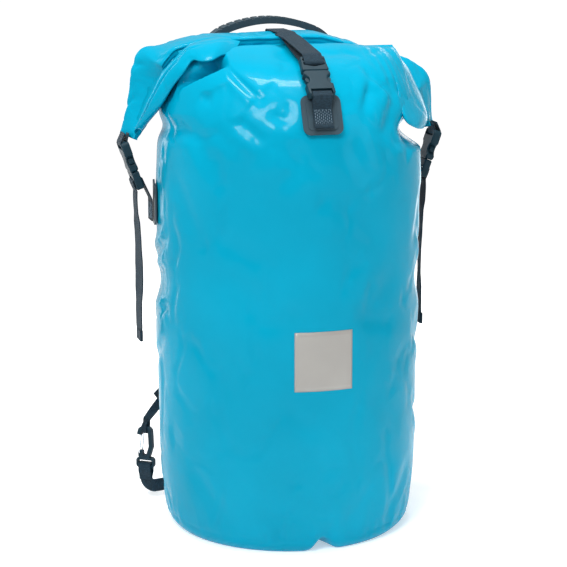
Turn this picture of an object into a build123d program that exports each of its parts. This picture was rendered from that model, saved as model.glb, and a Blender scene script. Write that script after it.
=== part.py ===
"""A 60 litre roll-top dry bag with a carry handle, side and front buckles and clip-on shoulder straps.

Units are millimetres. +Z is up, the origin is the centre of the flat base, and the front faces -Y.
The bag is drawn stuffed and closed, as it stands on the floor.
"""

import math
import os

from build123d import *

os.makedirs("parts", exist_ok=True)

# Driving dimensions of the fabric shell
BODY_R = 171.0  # outer radius of the stuffed tube
BASE_R = 159.0  # radius of the base disc's edge
TAPER_Z = 70.0  # the tube narrows to the base below this height
SHOULDER_Z = 420.0  # the tube is round below this height and flattens above it
CREST_Z = 618.0  # top of the stuffed dome, where the mouth is pinched shut
MOUTH_NARROWING = 0.17  # share of its half width that the dome loses at the mouth
FULLNESS = 3.2  # exponent of the rounded profile seen from the side
WALL = 1.5  # coated fabric
MOUTH_HALF = 138.0  # half length of the open mouth under the roll
MOUTH_GAP = 22.0
GAP = 0.4  # room between a piece and the skin under it

# The rolled closure
ROLL_Y = 36.0  # the roll lies behind the crest
ROLL_Z = CREST_Z + 10.5
ROLL_WIDTH = 62.0
ROLL_THICK = 19.0
ROLL_HALF = 150.0  # half of the straight stretch
ROLL_BEND = 54.0  # radius at which each end turns down
ROLL_TIP_Z = 512.0

# Webbing and plates
WEB = 25.0
WEB_THICK = 1.6
NARROW_WEB = 20.0
PATCH_SIDE = 50.0
PATCH_THICK = 2.0

# Side-release buckle, measured from the end of the housing's webbing bar
BUCKLE_HALF_WIDTH = 17.0
BUCKLE_THICK = 11.0
BUCKLE_MOUTH = 40.0
BUCKLE_LENGTH = 64.0
CAVITY_HALF_WIDTH = 13.2
CAVITY_HALF_THICK = 3.4
BAR_HALF_THICK = 2.3  # the housing's webbing bar is thinner than its box
SLOT_AT = 6.5  # middle of the housing's webbing slot
LADDER_SLOT_AT = 50.5  # middle of the tongue's first webbing slot

SIDE_Y = 28.0  # the side straps hang in the plane Y = 28
SIDE_LEAN = math.radians(19)  # the side buckles lean in towards the tube
FRONT_BUCKLE_Z = 590.0  # the middle of the front buckle touches the dome here
TAIL_END_Z = 245.0
CLIP_BEARING = 35.0  # the lower clips lie this many degrees behind the sides


def body_radius(z):
    """Outer radius of the tube below the shoulder."""
    if z >= TAPER_Z:
        return BODY_R
    return BODY_R - (BODY_R - BASE_R) * ((TAPER_Z - z) / TAPER_Z) ** 2


def dome_rise(z):
    """0 at the shoulder and 1 at the crest."""
    return max(0.0, (z - SHOULDER_Z) / (CREST_Z - SHOULDER_Z))


def half_depth(z):
    """Half of the dome's size along Y at a height."""
    return BODY_R * (1 - dome_rise(z) ** FULLNESS) ** (1 / FULLNESS)


def half_width(z):
    """Half of the dome's size along X at a height."""
    return BODY_R * (1 - MOUTH_NARROWING * dome_rise(z) ** 3)


def skin_y(x, z):
    """Distance of the dome's skin behind (or in front of) the bag's middle plane."""
    return half_depth(z) * math.sqrt(1 - (x / half_width(z)) ** 2)


def skin_frame(x, z, facing):
    """A plane on the dome at the front (facing -1) or back (+1): X across, Y up the slope, Z outward."""
    step = 0.5
    across_rate = (skin_y(x + step, z) - skin_y(x - step, z)) / (2 * step)
    up_rate = (skin_y(x, z + step) - skin_y(x, z - step)) / (2 * step)
    out = Vector(-across_rate, facing, -up_rate).normalized()
    across = Vector(0, 0, 1).cross(out).normalized()
    return Plane(origin=(x, facing * skin_y(x, z), z), x_dir=across, z_dir=out)


def finish(builder, label):
    """Labels a finished piece and writes it."""
    builder.part.label = label
    export_step(builder.part, f"parts/{label}.step")


# ---------------------------------------------------------------- fabric shell

DOME_STEPS = [0.0, 0.13, 0.26, 0.39, 0.51, 0.62, 0.72, 0.81, 0.88, 0.93, 0.965, 0.988, 0.9975]


def tube_profile(inset):
    """Points (radius, height) up the tube's wall, moved in by inset."""
    heights = [WALL, 20.0, 45.0, TAPER_Z]
    return [(body_radius(z) - inset, z) for z in heights]


def tube(inset):
    """The round part of the bag, solid, with its wall moved in by inset."""
    profile = tube_profile(inset)
    with BuildPart() as solid:
        with BuildSketch(Plane.XZ):
            with BuildLine():
                Spline(profile, tangents=[(0.3, 1), (0, 1)])
                Polyline(profile[-1], (BODY_R - inset, SHOULDER_Z), (0, SHOULDER_Z), (0, WALL), profile[0])
            make_face()
        revolve(axis=Axis.Z)
    return solid.part


def dome(inset):
    """The part that flattens from round to the pinched mouth, solid, with its wall moved in by inset."""
    with BuildPart() as solid:
        for share in DOME_STEPS:
            height = SHOULDER_Z + (CREST_Z - SHOULDER_Z) * share
            with BuildSketch(Plane.XY.offset(height - inset * share**4)):
                Ellipse(half_width(height) - inset, half_depth(height) - inset)
        loft()
    return solid.part


outer_skin = [tube(0), dome(0)]
inner_skin = [tube(WALL), dome(WALL)]
with BuildPart() as bag_body:
    add(outer_skin)
    add(inner_skin, mode=Mode.SUBTRACT)
    with BuildSketch(Plane.XY.offset(CREST_Z - 4)):
        SlotOverall(2 * MOUTH_HALF, MOUTH_GAP)
    extrude(amount=8, mode=Mode.SUBTRACT)
finish(bag_body, "bag_body")

with BuildPart() as bag_base:
    with BuildSketch():
        Circle(body_radius(WALL))
    extrude(amount=WALL)
finish(bag_base, "bag_base")

# ---------------------------------------------------------------- rolled closure


def roll_path(side):
    """The centreline of half of the roll, from the middle to one bent-down tip."""
    turn = ROLL_BEND * math.sin(math.radians(45))
    corner = ROLL_HALF + ROLL_BEND
    with BuildLine(Plane.XZ.offset(-ROLL_Y)) as path:
        Line((0, ROLL_Z), (side * ROLL_HALF, ROLL_Z))
        ThreePointArc(
            (side * ROLL_HALF, ROLL_Z),
            (side * (ROLL_HALF + turn), ROLL_Z - ROLL_BEND + turn),
            (side * corner, ROLL_Z - ROLL_BEND),
        )
        Line((side * corner, ROLL_Z - ROLL_BEND), (side * corner, ROLL_TIP_Z))
    return path.line


STIFFENER_HALF = 140.0
STIFFENER_WIDTH = 30.0
STIFFENER_THICK = 1.8

with BuildPart() as rolled_closure:
    for side in (-1, 1):
        with BuildSketch(Plane(origin=(0, ROLL_Y, ROLL_Z), x_dir=(0, 1, 0), z_dir=(side, 0, 0))):
            RectangleRounded(ROLL_WIDTH, ROLL_THICK, ROLL_THICK * 0.45)
        sweep(path=roll_path(side))
    with BuildSketch(Plane.XY.offset(ROLL_Z - STIFFENER_THICK - GAP)):
        with Locations((0, ROLL_Y)):
            Rectangle(2 * STIFFENER_HALF + 2, STIFFENER_WIDTH + 2)
    extrude(amount=2 * (STIFFENER_THICK + GAP), mode=Mode.SUBTRACT)
finish(rolled_closure, "rolled_closure")

for name, low in (
    ("closure_stiffener_front", ROLL_Z + GAP / 2),
    ("closure_stiffener_back", ROLL_Z - GAP / 2 - STIFFENER_THICK),
):
    with BuildPart() as stiffener:
        with BuildSketch(Plane.XY.offset(low)):
            with Locations((0, ROLL_Y)):
                RectangleRounded(2 * STIFFENER_HALF, STIFFENER_WIDTH, 6)
        extrude(amount=STIFFENER_THICK)
    finish(stiffener, name)

# The neck's spare width folds into a double-layer ear at each side, under the roll's bent end.
EAR_OUTLINE = [
    (148, 616),
    (166, 608),
    (181, 590),
    (189, 562),
    (190, 533),
    (181, 522),
    (168.5, 530),
    (157, 583),
]
EAR_THICK = 4.0

for side, name in ((-1, "neck_fold_left"), (1, "neck_fold_right")):
    with BuildPart() as ear:
        with BuildSketch(Plane.XZ.offset(-(ROLL_Y - ROLL_WIDTH / 2 - GAP))):
            with BuildLine():
                Polyline([(side * x, z) for x, z in EAR_OUTLINE], close=True)
            make_face()
        extrude(amount=EAR_THICK)
    finish(ear, name)

# ---------------------------------------------------------------- plates welded to the skin


def curved_plate(bearing, low, high, width, gap, thick, corner):
    """A plate that hugs the tube. bearing is its middle's angle from +X, in degrees."""
    out = (math.cos(math.radians(bearing)), math.sin(math.radians(bearing)), 0)
    across = (-out[1], out[0], 0)
    middle = (low + high) / 2
    steps = [low - 2 + (high - low + 4) * k / 6 for k in range(7)]
    inner = [(body_radius(z) + gap, z) for z in steps]
    outer = [(radius + thick, z) for radius, z in reversed(inner)]
    with BuildPart() as plate:
        with BuildSketch(Plane(origin=(0, 0, middle), x_dir=across, z_dir=out)):
            RectangleRounded(width, high - low, corner)
        extrude(amount=BODY_R + 20)
        with BuildSketch(Plane.XZ):
            with BuildLine():
                Polyline(inner + outer, close=True)
            make_face()
        revolve(axis=Axis.Z, mode=Mode.INTERSECT)
    return plate


FRONT_BEARING = -90
BACK_BEARING = 90
LABEL_Z = (213.0, 289.0)
LABEL_WIDTH = 74.0
LABEL_THICK = 0.6
LABEL_CORNER = 1.5
label_plate = curved_plate(FRONT_BEARING, *LABEL_Z, LABEL_WIDTH, GAP, LABEL_THICK, LABEL_CORNER)
finish(label_plate, "reflective_label")

SEAM_Z = (95.0, 415.0)
SEAM_WIDTH = 22.0
SEAM_THICK = 0.8
SEAM_CORNER = 2.0
seam_plate = curved_plate(BACK_BEARING, *SEAM_Z, SEAM_WIDTH, GAP, SEAM_THICK, SEAM_CORNER)
finish(seam_plate, "back_seam_strip")

PATCH_CORNER = 9.0
SIDE_PATCH_Z = (398.0, 452.0)
SIDE_BEARING = math.degrees(math.asin(SIDE_Y / BODY_R))
for name, bearing in (("side_patch_left", 180 - SIDE_BEARING), ("side_patch_right", SIDE_BEARING)):
    finish(curved_plate(bearing, *SIDE_PATCH_Z, PATCH_SIDE, GAP, PATCH_THICK, PATCH_CORNER), name)

YOKE_Z = (424.0, 478.0)
YOKE_WIDTH = 190.0
YOKE_CORNER = 12.0
yoke_plate = curved_plate(BACK_BEARING, *YOKE_Z, YOKE_WIDTH, GAP, PATCH_THICK, YOKE_CORNER)
finish(yoke_plate, "shoulder_yoke_patch")

CLIP_PATCH_Z = (5.0, 48.0)
CLIP_PATCH_BEARING = 51.0
for name, bearing in (
    ("clip_patch_left", 180 - CLIP_PATCH_BEARING),
    ("clip_patch_right", CLIP_PATCH_BEARING),
):
    finish(curved_plate(bearing, *CLIP_PATCH_Z, PATCH_SIDE, GAP, PATCH_THICK, PATCH_CORNER), name)


PATCH_RIM = 6.0  # the raised middle starts this far inside the patch's edge
PATCH_STEP = 0.8  # and rises by this much


def flat_patch(plane, width, height):
    """A flat moulded plate with a raised middle. plane lies on its back face."""
    with BuildPart() as patch:
        with BuildSketch(plane):
            RectangleRounded(width, height, PATCH_CORNER)
        extrude(amount=PATCH_THICK - PATCH_STEP)
        with BuildSketch(plane.offset(PATCH_THICK - PATCH_STEP)):
            RectangleRounded(width - 2 * PATCH_RIM, height - 2 * PATCH_RIM, PATCH_CORNER - 4)
        extrude(amount=PATCH_STEP, taper=30)
    return patch


PATCH_Z = 553.0
front_patch_plane = skin_frame(0, PATCH_Z, -1).offset(GAP)
back_patch_plane = skin_frame(0, PATCH_Z, 1).offset(GAP)
finish(flat_patch(front_patch_plane, PATCH_SIDE, PATCH_SIDE), "front_patch")
finish(flat_patch(back_patch_plane, PATCH_SIDE, PATCH_SIDE), "back_patch")

# ---------------------------------------------------------------- buckles


WINDOW_R = 8.3
WINDOW_AT = (20.0, 25.5)  # middle of the round window on each side of the housing
SLOT_WIDTH = 27.0
SLOT_HEIGHT = 5.0
LATCH_HALF_THICK = 2.9
GUIDE_WIDTH = 5.6
GUIDE_LENGTH = 21.0
GUIDE_HALF_THICK = 2.2


def buckle_plane(bar_end, across, along):
    """Local X across the webbing, Y from the housing's bar towards the tongue, Z out of its face."""
    return Plane(origin=bar_end, x_dir=across, z_dir=Vector(across).cross(Vector(along)))


def buckle_housing(plane):
    """The socket half: a flat box with a webbing bar, an open mouth and a window on each side."""
    with BuildPart() as housing:
        with BuildSketch(plane.offset(-BUCKLE_THICK / 2)):
            with Locations((0, BUCKLE_MOUTH / 2)):
                RectangleRounded(2 * BUCKLE_HALF_WIDTH, BUCKLE_MOUTH, 5)
            with Locations((-WINDOW_AT[0], WINDOW_AT[1]), WINDOW_AT):
                Circle(WINDOW_R, mode=Mode.SUBTRACT)
        extrude(amount=BUCKLE_THICK)
        rims = [edge for edge in housing.edges() if abs((edge % 0.5).dot(plane.z_dir)) < 0.01]
        fillet(rims, 1.8)
        with BuildSketch(plane.offset(-BUCKLE_THICK / 2)):
            with Locations((0, SLOT_AT)):
                RectangleRounded(SLOT_WIDTH, SLOT_HEIGHT, 1.5)
        extrude(amount=BUCKLE_THICK, mode=Mode.SUBTRACT)
        for face in (-1, 1):
            with BuildSketch(plane.offset(face * BAR_HALF_THICK)):
                with Locations((0, 4)):
                    Rectangle(SLOT_WIDTH, 10)
            extrude(amount=face * BUCKLE_THICK / 2, mode=Mode.SUBTRACT)
        with BuildSketch(plane.offset(-CAVITY_HALF_THICK)):
            with Locations((0, BUCKLE_MOUTH / 2 + 6)):
                Rectangle(2 * CAVITY_HALF_WIDTH, BUCKLE_MOUTH - 10)
        extrude(amount=2 * CAVITY_HALF_THICK, mode=Mode.SUBTRACT)
    return housing


def buckle_tongue(plane):
    """The plug half: a guide that enters the housing, a shoulder and a ladder of two webbing slots."""
    base = BUCKLE_MOUTH + 0.4
    with BuildPart() as tongue:
        with BuildSketch(plane.offset(-BUCKLE_THICK / 2 + 0.6)):
            with BuildLine():
                FilletPolyline(
                    (-BUCKLE_HALF_WIDTH, base),
                    (BUCKLE_HALF_WIDTH, base),
                    (16, 52),
                    (15.5, BUCKLE_LENGTH),
                    (-15.5, BUCKLE_LENGTH),
                    (-16, 52),
                    radius=2.5,
                    close=True,
                )
            make_face()
        extrude(amount=BUCKLE_THICK - 1.2)
        rims = [edge for edge in tongue.edges() if abs((edge % 0.5).dot(plane.z_dir)) < 0.01]
        fillet(rims, 1.5)
        with BuildSketch(plane.offset(-BUCKLE_THICK / 2)):
            with BuildLine():
                Polyline((-13.4, 53), (13.4, 53), (13.4, 49.5), (0, 46), (-13.4, 49.5), close=True)
            make_face()
            with Locations((0, 58)):
                Rectangle(26.8, 3.6)
        extrude(amount=BUCKLE_THICK, mode=Mode.SUBTRACT)
        with BuildSketch(plane.offset(-GUIDE_HALF_THICK)):
            with Locations((0, BUCKLE_MOUTH + 1 - GUIDE_LENGTH / 2)):
                RectangleRounded(GUIDE_WIDTH, GUIDE_LENGTH, 1.2)
        extrude(amount=2 * GUIDE_HALF_THICK)
    return tongue


def buckle_latch(plane, side):
    """One spring arm of the tongue, with the finger pad that fills the housing's window."""
    with BuildPart() as latch:
        with BuildSketch(plane.offset(-LATCH_HALF_THICK)):
            with BuildLine():
                Polyline(
                    (side * 8.2, 39.8),
                    (side * 12.2, 39.8),
                    (side * 12.3, 30.2),
                    (side * 13.2, 29.5),
                    (side * 14.6, 29.4),
                    (side * 16.2, 26.8),
                    (side * 15.4, 23.5),
                    (side * 12.4, 20.6),
                    (side * 9.6, 20.4),
                    (side * 9.2, 30.0),
                    close=True,
                )
            make_face()
        extrude(amount=2 * LATCH_HALF_THICK)
    return latch


def place(plane, along, out):
    """A point on the middle line of a buckle, at a height above its middle plane."""
    return plane.from_local_coords(Vector(0, along, out))


front_skin = skin_frame(0, FRONT_BUCKLE_Z, -1)
BUCKLE_LIFT = 2.4  # room for webbing between the front buckle and the skin
front_bar_end = front_skin.from_local_coords(Vector(0, -BUCKLE_LENGTH / 2, BUCKLE_THICK / 2 + BUCKLE_LIFT))
front_plane = buckle_plane(front_bar_end, (1, 0, 0), front_skin.y_dir)

SIDE_BAR_END = (210.0, SIDE_Y, 505.0)


def side_plane(side):
    """The plane of the left (side -1) or right (+1) buckle, whose tongue points down and in."""
    along = Vector(-side * math.sin(SIDE_LEAN), 0, -math.cos(SIDE_LEAN))
    return buckle_plane(Vector(side * SIDE_BAR_END[0], *SIDE_BAR_END[1:]), (0, -side, 0), along)


buckles = {"front": front_plane, "left": side_plane(-1), "right": side_plane(1)}
for name, plane in buckles.items():
    finish(buckle_housing(plane), f"{name}_buckle_housing")
    finish(buckle_tongue(plane), f"{name}_buckle_tongue")
    finish(buckle_latch(plane, 1), f"{name}_buckle_latch_a")
    finish(buckle_latch(plane, -1), f"{name}_buckle_latch_b")

# ---------------------------------------------------------------- webbing


def ribbon(plane, points, width, radius, thick=WEB_THICK):
    """Webbing whose centreline bends in the plane, with its width along the plane's normal."""
    with BuildPart() as strap:
        with BuildSketch(plane):
            with BuildLine():
                FilletPolyline(*points, radius=radius)
            trace(line_width=thick)
        extrude(amount=width / 2, both=True)
    return strap


def banded(stations):
    """Webbing lofted through (centre, width direction, travel direction, width) stations."""
    with BuildPart() as band:
        for centre, across, along, width in stations:
            with BuildSketch(Plane(origin=centre, x_dir=across, z_dir=along)):
                Rectangle(width, WEB_THICK)
        loft(ruled=True)
    return band


def flat(points):
    """Points as local points of Plane.YZ."""
    return [(p.Y, p.Z) for p in points]


def on_patch(plane, up, out):
    """A point over a patch, up its slope and out from its back face."""
    return plane.from_local_coords(Vector(0, up, out))


LAYER_LOW = PATCH_THICK + 0.2 + WEB_THICK / 2
LAYER_HIGH = LAYER_LOW + WEB_THICK + 0.1

front_anchor_points = flat(
    [
        on_patch(front_patch_plane, -16, LAYER_HIGH),
        on_patch(front_patch_plane, 8, LAYER_HIGH),
        place(front_plane, -1.2, 3.6),
        place(front_plane, SLOT_AT, 3.6),
        place(front_plane, SLOT_AT, -3.6),
        place(front_plane, 1.0, -3.6),
        on_patch(front_patch_plane, 10, LAYER_LOW),
        on_patch(front_patch_plane, -16, LAYER_LOW),
    ]
)
finish(ribbon(Plane.YZ, front_anchor_points, WEB - 1, 1.2), "front_anchor_webbing")

# The front strap runs from the back patch over the roll, round the tongue's bar, and back along itself.
STRAP_TOP_Z = ROLL_Z + ROLL_THICK / 2 + 0.4 + WEB_THICK / 2
roll_front = ROLL_Y - ROLL_WIDTH / 2
roll_back = ROLL_Y + ROLL_WIDTH / 2
top_strap_points = flat(
    [
        Vector(0, roll_front - 36, STRAP_TOP_Z - 4.6),
        place(front_plane, 66, 6.2),
        place(front_plane, LADDER_SLOT_AT, 6.2),
        place(front_plane, LADDER_SLOT_AT, -6.2),
        place(front_plane, 63, -6.2),
        Vector(0, roll_front + 3, STRAP_TOP_Z),
        Vector(0, roll_back - 3, STRAP_TOP_Z),
        Vector(0, roll_back + 4, STRAP_TOP_Z - 9),
        Vector(0, roll_back + 9, 617),
        Vector(0, 112, 603),
        on_patch(back_patch_plane, 29, 3.6),
        on_patch(back_patch_plane, 21, LAYER_LOW + 0.3),
        on_patch(back_patch_plane, -17, LAYER_LOW + 0.3),
    ]
)
finish(ribbon(Plane.YZ, top_strap_points, WEB - 1, 1.0), "top_strap")

side_view = Plane.XZ.offset(-SIDE_Y)
ROLL_END_X = ROLL_HALF + ROLL_BEND
TAIL_X = 191.0
TAIL_TOP_Z = 444.0


def side_points(side, points):
    """(x, z) points of the right-hand side, mirrored for the left."""
    return [(side * x, z) for x, z in points]


def buckle_xz(along, out):
    """A point of the right-hand buckle's middle plane, as (x, z)."""
    point = place(buckles["right"], along, out)
    return (point.X, point.Z)


roll_loop = [
    (ROLL_END_X - 0.6, ROLL_TIP_Z - 1),
    buckle_xz(0.2, -4.4),
    buckle_xz(SLOT_AT, -3.6),
    buckle_xz(SLOT_AT, 3.6),
    buckle_xz(0.2, 4.6),
    (ROLL_END_X + 4.4, ROLL_TIP_Z - 1),
]
patch_face = BODY_R * math.cos(math.radians(SIDE_BEARING)) + GAP + PATCH_THICK + 3.4
side_anchor = [
    (patch_face, SIDE_PATCH_Z[0] + 4),
    (patch_face, SIDE_PATCH_Z[0] + 32),
    buckle_xz(58, -6.6),
    buckle_xz(LADDER_SLOT_AT, -6.2),
    buckle_xz(LADDER_SLOT_AT, 6.2),
    buckle_xz(58, 6.4),
    buckle_xz(BUCKLE_LENGTH + 1, 5.6),
]
side_tail = [
    buckle_xz(BUCKLE_LENGTH + 1.6, 5.4),
    (TAIL_X + 3.2, TAIL_TOP_Z - 16),
    (TAIL_X, TAIL_TOP_Z - 60),
    (TAIL_X, TAIL_END_Z),
]
HEM_THICK = 3.6
HEM_LENGTH = 14.0
for side, name in ((-1, "left"), (1, "right")):
    finish(ribbon(side_view, side_points(side, roll_loop), WEB - 1, 1.2), f"roll_end_loop_{name}")
    finish(ribbon(side_view, side_points(side, side_anchor), WEB - 1, 1.2), f"side_anchor_webbing_{name}")
    tail_web = ribbon(side_view, side_points(side, side_tail), WEB - 1, 12).part
    with BuildPart() as tail:
        add(tail_web)
        with BuildSketch(side_view):
            with Locations((side * TAIL_X, TAIL_END_Z + HEM_LENGTH / 2)):
                RectangleRounded(HEM_THICK, HEM_LENGTH, 1)
        extrude(amount=(WEB - 1) / 2, both=True)
    finish(tail, f"side_strap_tail_{name}")

# ---------------------------------------------------------------- carry handle

HANDLE_Y = 99.0
HANDLE_END = (92.0, 604.0)
HANDLE_TOP = 648.5
GRIP_THICK = 9.0
GRIP_WIDTH = 24.0
GRIP_END_WIDTH = 10.0
GRIP_FLAT = 66.0  # half of the stretch with the full width
RIB_COUNT = 13
RIB_NOTCH = 3.2

grip_corner = [
    (HANDLE_END[0] + 6, GRIP_END_WIDTH / 2),
    (HANDLE_END[0] - 8, GRIP_END_WIDTH / 2),
    (GRIP_FLAT, GRIP_WIDTH / 2),
]
grip_outline = [(x, y) for x, y in grip_corner]
grip_outline += [(-x, y) for x, y in reversed(grip_corner)]
grip_outline += [(-x, -y) for x, y in grip_corner]
grip_outline += [(x, -y) for x, y in reversed(grip_corner)]

with BuildPart() as carry_handle:
    with BuildSketch(Plane.XZ.offset(-HANDLE_Y)):
        with BuildLine() as arch:
            Spline(
                (-HANDLE_END[0], HANDLE_END[1]),
                (-74, 628),
                (-40, 643),
                (0, HANDLE_TOP),
                (40, 643),
                (74, 628),
                HANDLE_END,
            )
        trace(line_width=GRIP_THICK)
        for rib in range(RIB_COUNT):
            share = 0.2 + 0.6 * rib / (RIB_COUNT - 1)
            middle = arch.line @ share
            heading = arch.line % share
            notch = (
                middle.X - heading.Y * (GRIP_THICK + 1) / 2,
                middle.Y + heading.X * (GRIP_THICK + 1) / 2,
            )
            turn = math.degrees(math.atan2(heading.Y, heading.X))
            with Locations(Location((notch[0], notch[1], 0), turn)):
                Rectangle(RIB_NOTCH, RIB_NOTCH, mode=Mode.SUBTRACT)
    extrude(amount=GRIP_WIDTH / 2, both=True)
    with BuildSketch(Plane.XY.offset(HANDLE_END[1] - 20)):
        with BuildLine():
            Polyline([(x, HANDLE_Y + y) for x, y in grip_outline], close=True)
        make_face()
    extrude(amount=90, mode=Mode.INTERSECT)
finish(carry_handle, "carry_handle_grip")

HANDLE_PATCH_Z = 587.0
HANDLE_TAB_END = 10.0
HANDLE_TAB_TOP = HANDLE_END[1] - 3.6
HANDLE_PATCH = (40.0, 26.0)
for side, name in ((-1, "left"), (1, "right")):
    base = skin_frame(side * HANDLE_END[0], HANDLE_PATCH_Z, 1).offset(GAP)
    finish(flat_patch(base, *HANDLE_PATCH), f"handle_patch_{name}")
    stations = []
    tab_rise = ((-11, LAYER_LOW, NARROW_WEB), (-3, LAYER_LOW, NARROW_WEB), (6, LAYER_LOW + 1.6, 13))
    for up, lift, width in tab_rise:
        stations.append((base.from_local_coords(Vector(0, up, lift)), base.x_dir, base.y_dir, width))
    tab_end = Vector(side * HANDLE_END[0], HANDLE_Y, HANDLE_TAB_TOP)
    for drop in (2, 0):
        stations.append((tab_end - Vector(0, 0, drop), Vector(-1, 0, 0), Vector(0, 0, 1), HANDLE_TAB_END))
    finish(banded(stations), f"handle_tab_{name}")

# ---------------------------------------------------------------- shoulder straps


def radial(bearing_from_y, radius, z, side):
    """A point at a bearing from +Y towards the side, in degrees, at a distance from the bag's axis."""
    angle = math.radians(bearing_from_y)
    return Vector(side * radius * math.sin(angle), radius * math.cos(angle), z)


# (bearing from +Y, distance from the axis, height, width, thickness) down the pad
PAD_STATIONS = [
    (17, 180, 462, 46, 8),
    (18, 187, 440, 56, 10),
    (19.5, 203, 392, 62, 11),
    (22, 216, 335, 62, 11),
    (26, 217, 278, 60, 11),
    (30.5, 208, 225, 54, 11),
    (34, 196, 188, 42, 9),
    (35.5, 191, 172, 30, 7),
]


def pad(side):
    """A padded strap, lofted down its stations."""
    centres = [radial(b, r, z, side) for b, r, z, _, _ in PAD_STATIONS]
    with BuildPart() as strap:
        for k, (bearing, _, _, width, thick) in enumerate(PAD_STATIONS):
            along = centres[min(k + 1, len(centres) - 1)] - centres[max(k - 1, 0)]
            out = radial(bearing, 1, 0, side)
            across = along.cross(out).normalized()
            with BuildSketch(Plane(origin=centres[k], x_dir=across, z_dir=along)):
                RectangleRounded(width, thick, thick * 0.42)
        loft()
    return strap


for side, name in ((-1, "left"), (1, "right")):
    finish(pad(side), f"shoulder_pad_{name}")

# The stitched root of each strap, on the yoke patch above its pad
ROOT_Z = (466.0, 476.0)
ROOT_WIDTH = 40.0
ROOT_THICK = 4.0
ROOT_GAP = GAP + PATCH_THICK + 0.3
ROOT_BEARING = PAD_STATIONS[0][0]
for name, bearing in (("left", 90 + ROOT_BEARING), ("right", 90 - ROOT_BEARING)):
    root = curved_plate(bearing, *ROOT_Z, ROOT_WIDTH, ROOT_GAP, ROOT_THICK, 1)
    finish(root, f"shoulder_strap_root_{name}")

# ---------------------------------------------------------------- lower clips

CLIP_R = 205.0  # distance of the clip's middle from the bag's axis
CLIP_Z = 47.0
CLIP_THICK = 7.0
CLIP_BAR = -2.4  # the webbing bar's middle, below the clip's own origin
EYE_WIDTH = 26.0
EYE_HEIGHT = 15.0
EYE_OPENING = (20.6, 7.4)
HOOK_WIDTH = 5.6
HOOK_TOP = 51.0
GATE_WIRE_R = 1.0
GATE_PIVOT = (7.5, 17.0)
GATE_TIP = (4.4, 42.5)


def clip_plane(side):
    """Local X points away from the bag, local Y up, local Z along the tube."""
    out = radial(90 - CLIP_BEARING, 1, 0, side)
    middle = radial(90 - CLIP_BEARING, CLIP_R, CLIP_Z, side)
    return Plane(origin=middle, x_dir=out, z_dir=out.cross(Vector(0, 0, 1)))


def clip_point(side, out, up, back):
    """A point given outward, upward and towards the bag's back from a clip's origin."""
    return clip_plane(side).from_local_coords(Vector(out, up, -side * back))


def clip_body(plane):
    """A hook with a frame for webbing under it, open where the wire gate closes it."""
    with BuildPart() as clip:
        with BuildSketch(plane.offset(-CLIP_THICK / 2)):
            with Locations((0, 3.2)):
                RectangleRounded(EYE_WIDTH, EYE_HEIGHT, 5)
                RectangleRounded(*EYE_OPENING, 2, mode=Mode.SUBTRACT)
        extrude(amount=CLIP_THICK)
        with BuildSketch(plane.offset(-CLIP_THICK / 2)):
            with BuildLine():
                FilletPolyline(
                    (9.0, 12.5),
                    (-3.5, 10.0),
                    (-8.5, 26),
                    (-7.5, HOOK_TOP),
                    (6.5, HOOK_TOP + 0.5),
                    (8.6, 42.5),
                    radius=4.6,
                )
            trace(line_width=HOOK_WIDTH)
            with Locations((6.6, 15.2)):
                RectangleRounded(6.4, 9.0, 2)
        extrude(amount=CLIP_THICK)
        for face in (-1, 1):
            with BuildSketch(plane.offset(face * CLIP_THICK / 2)):
                with Locations(GATE_PIVOT):
                    Circle(GATE_WIRE_R + 0.05)
            extrude(amount=-face * 2.4, mode=Mode.SUBTRACT)
    return clip


def clip_gate(plane):
    """A bent wire: two legs outside the clip's root, with ends in its pivot holes, joined behind the nose."""
    leg = CLIP_THICK / 2 + GATE_WIRE_R + 0.35
    end = CLIP_THICK / 2 - 2.1
    corners = [
        (*GATE_PIVOT, end),
        (*GATE_PIVOT, leg),
        (*GATE_TIP, leg),
        (*GATE_TIP, -leg),
        (*GATE_PIVOT, -leg),
        (*GATE_PIVOT, -end),
    ]
    with BuildPart() as gate:
        with BuildLine() as wire:
            FilletPolyline(*[plane.from_local_coords(Vector(*corner)) for corner in corners], radius=1.3)
        with BuildSketch(Plane(origin=wire.line @ 0, z_dir=wire.line % 0)):
            Circle(GATE_WIRE_R)
        sweep(path=wire.line)
    return gate


def hook_view(side):
    """Seen along the bag's radius at the clip: local X towards the back, local Y up."""
    back = clip_point(side, 0, 0, 1) - clip_point(side, 0, 0, 0)
    return Plane(origin=clip_point(side, 0, 0, 0), x_dir=back, z_dir=back.cross(Vector(0, 0, 1)))


CLIP_WEB = 18.0
ANCHOR_Z = 18.0  # height at which the anchor webbing leaves its patch
ANCHOR_PATCH_R = 171.5
TURN_R = 11.0
EYE_LOOP = 5.4  # the anchor's loop clears the turning webbing bar


def anchor_band(side):
    """Webbing that lies along its patch, stands off the bag and turns up towards the clip's eye."""
    up = Vector(0, 0, 1)
    out = radial(90 - CLIP_BEARING, 1, 0, side)
    stations = []
    for from_back, radius, lean in ((38, ANCHOR_PATCH_R, 0), (44, ANCHOR_PATCH_R, 0), (49, 178, 1)):
        travel = radial(from_back + 90, 1, 0, side) + radial(from_back, lean, 0, side)
        stations.append((radial(from_back, radius, ANCHOR_Z, side), up, travel.normalized(), CLIP_WEB))
    for turn in (0, 30, 60, 90):
        sine = math.sin(math.radians(turn))
        cosine = math.cos(math.radians(turn))
        centre = clip_point(side, TURN_R * (sine - 1), ANCHOR_Z - CLIP_Z + TURN_R * (1 - cosine), 0)
        stations.append((centre, up * cosine - out * sine, out * cosine + up * sine, CLIP_WEB))
    return banded(stations).part


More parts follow.
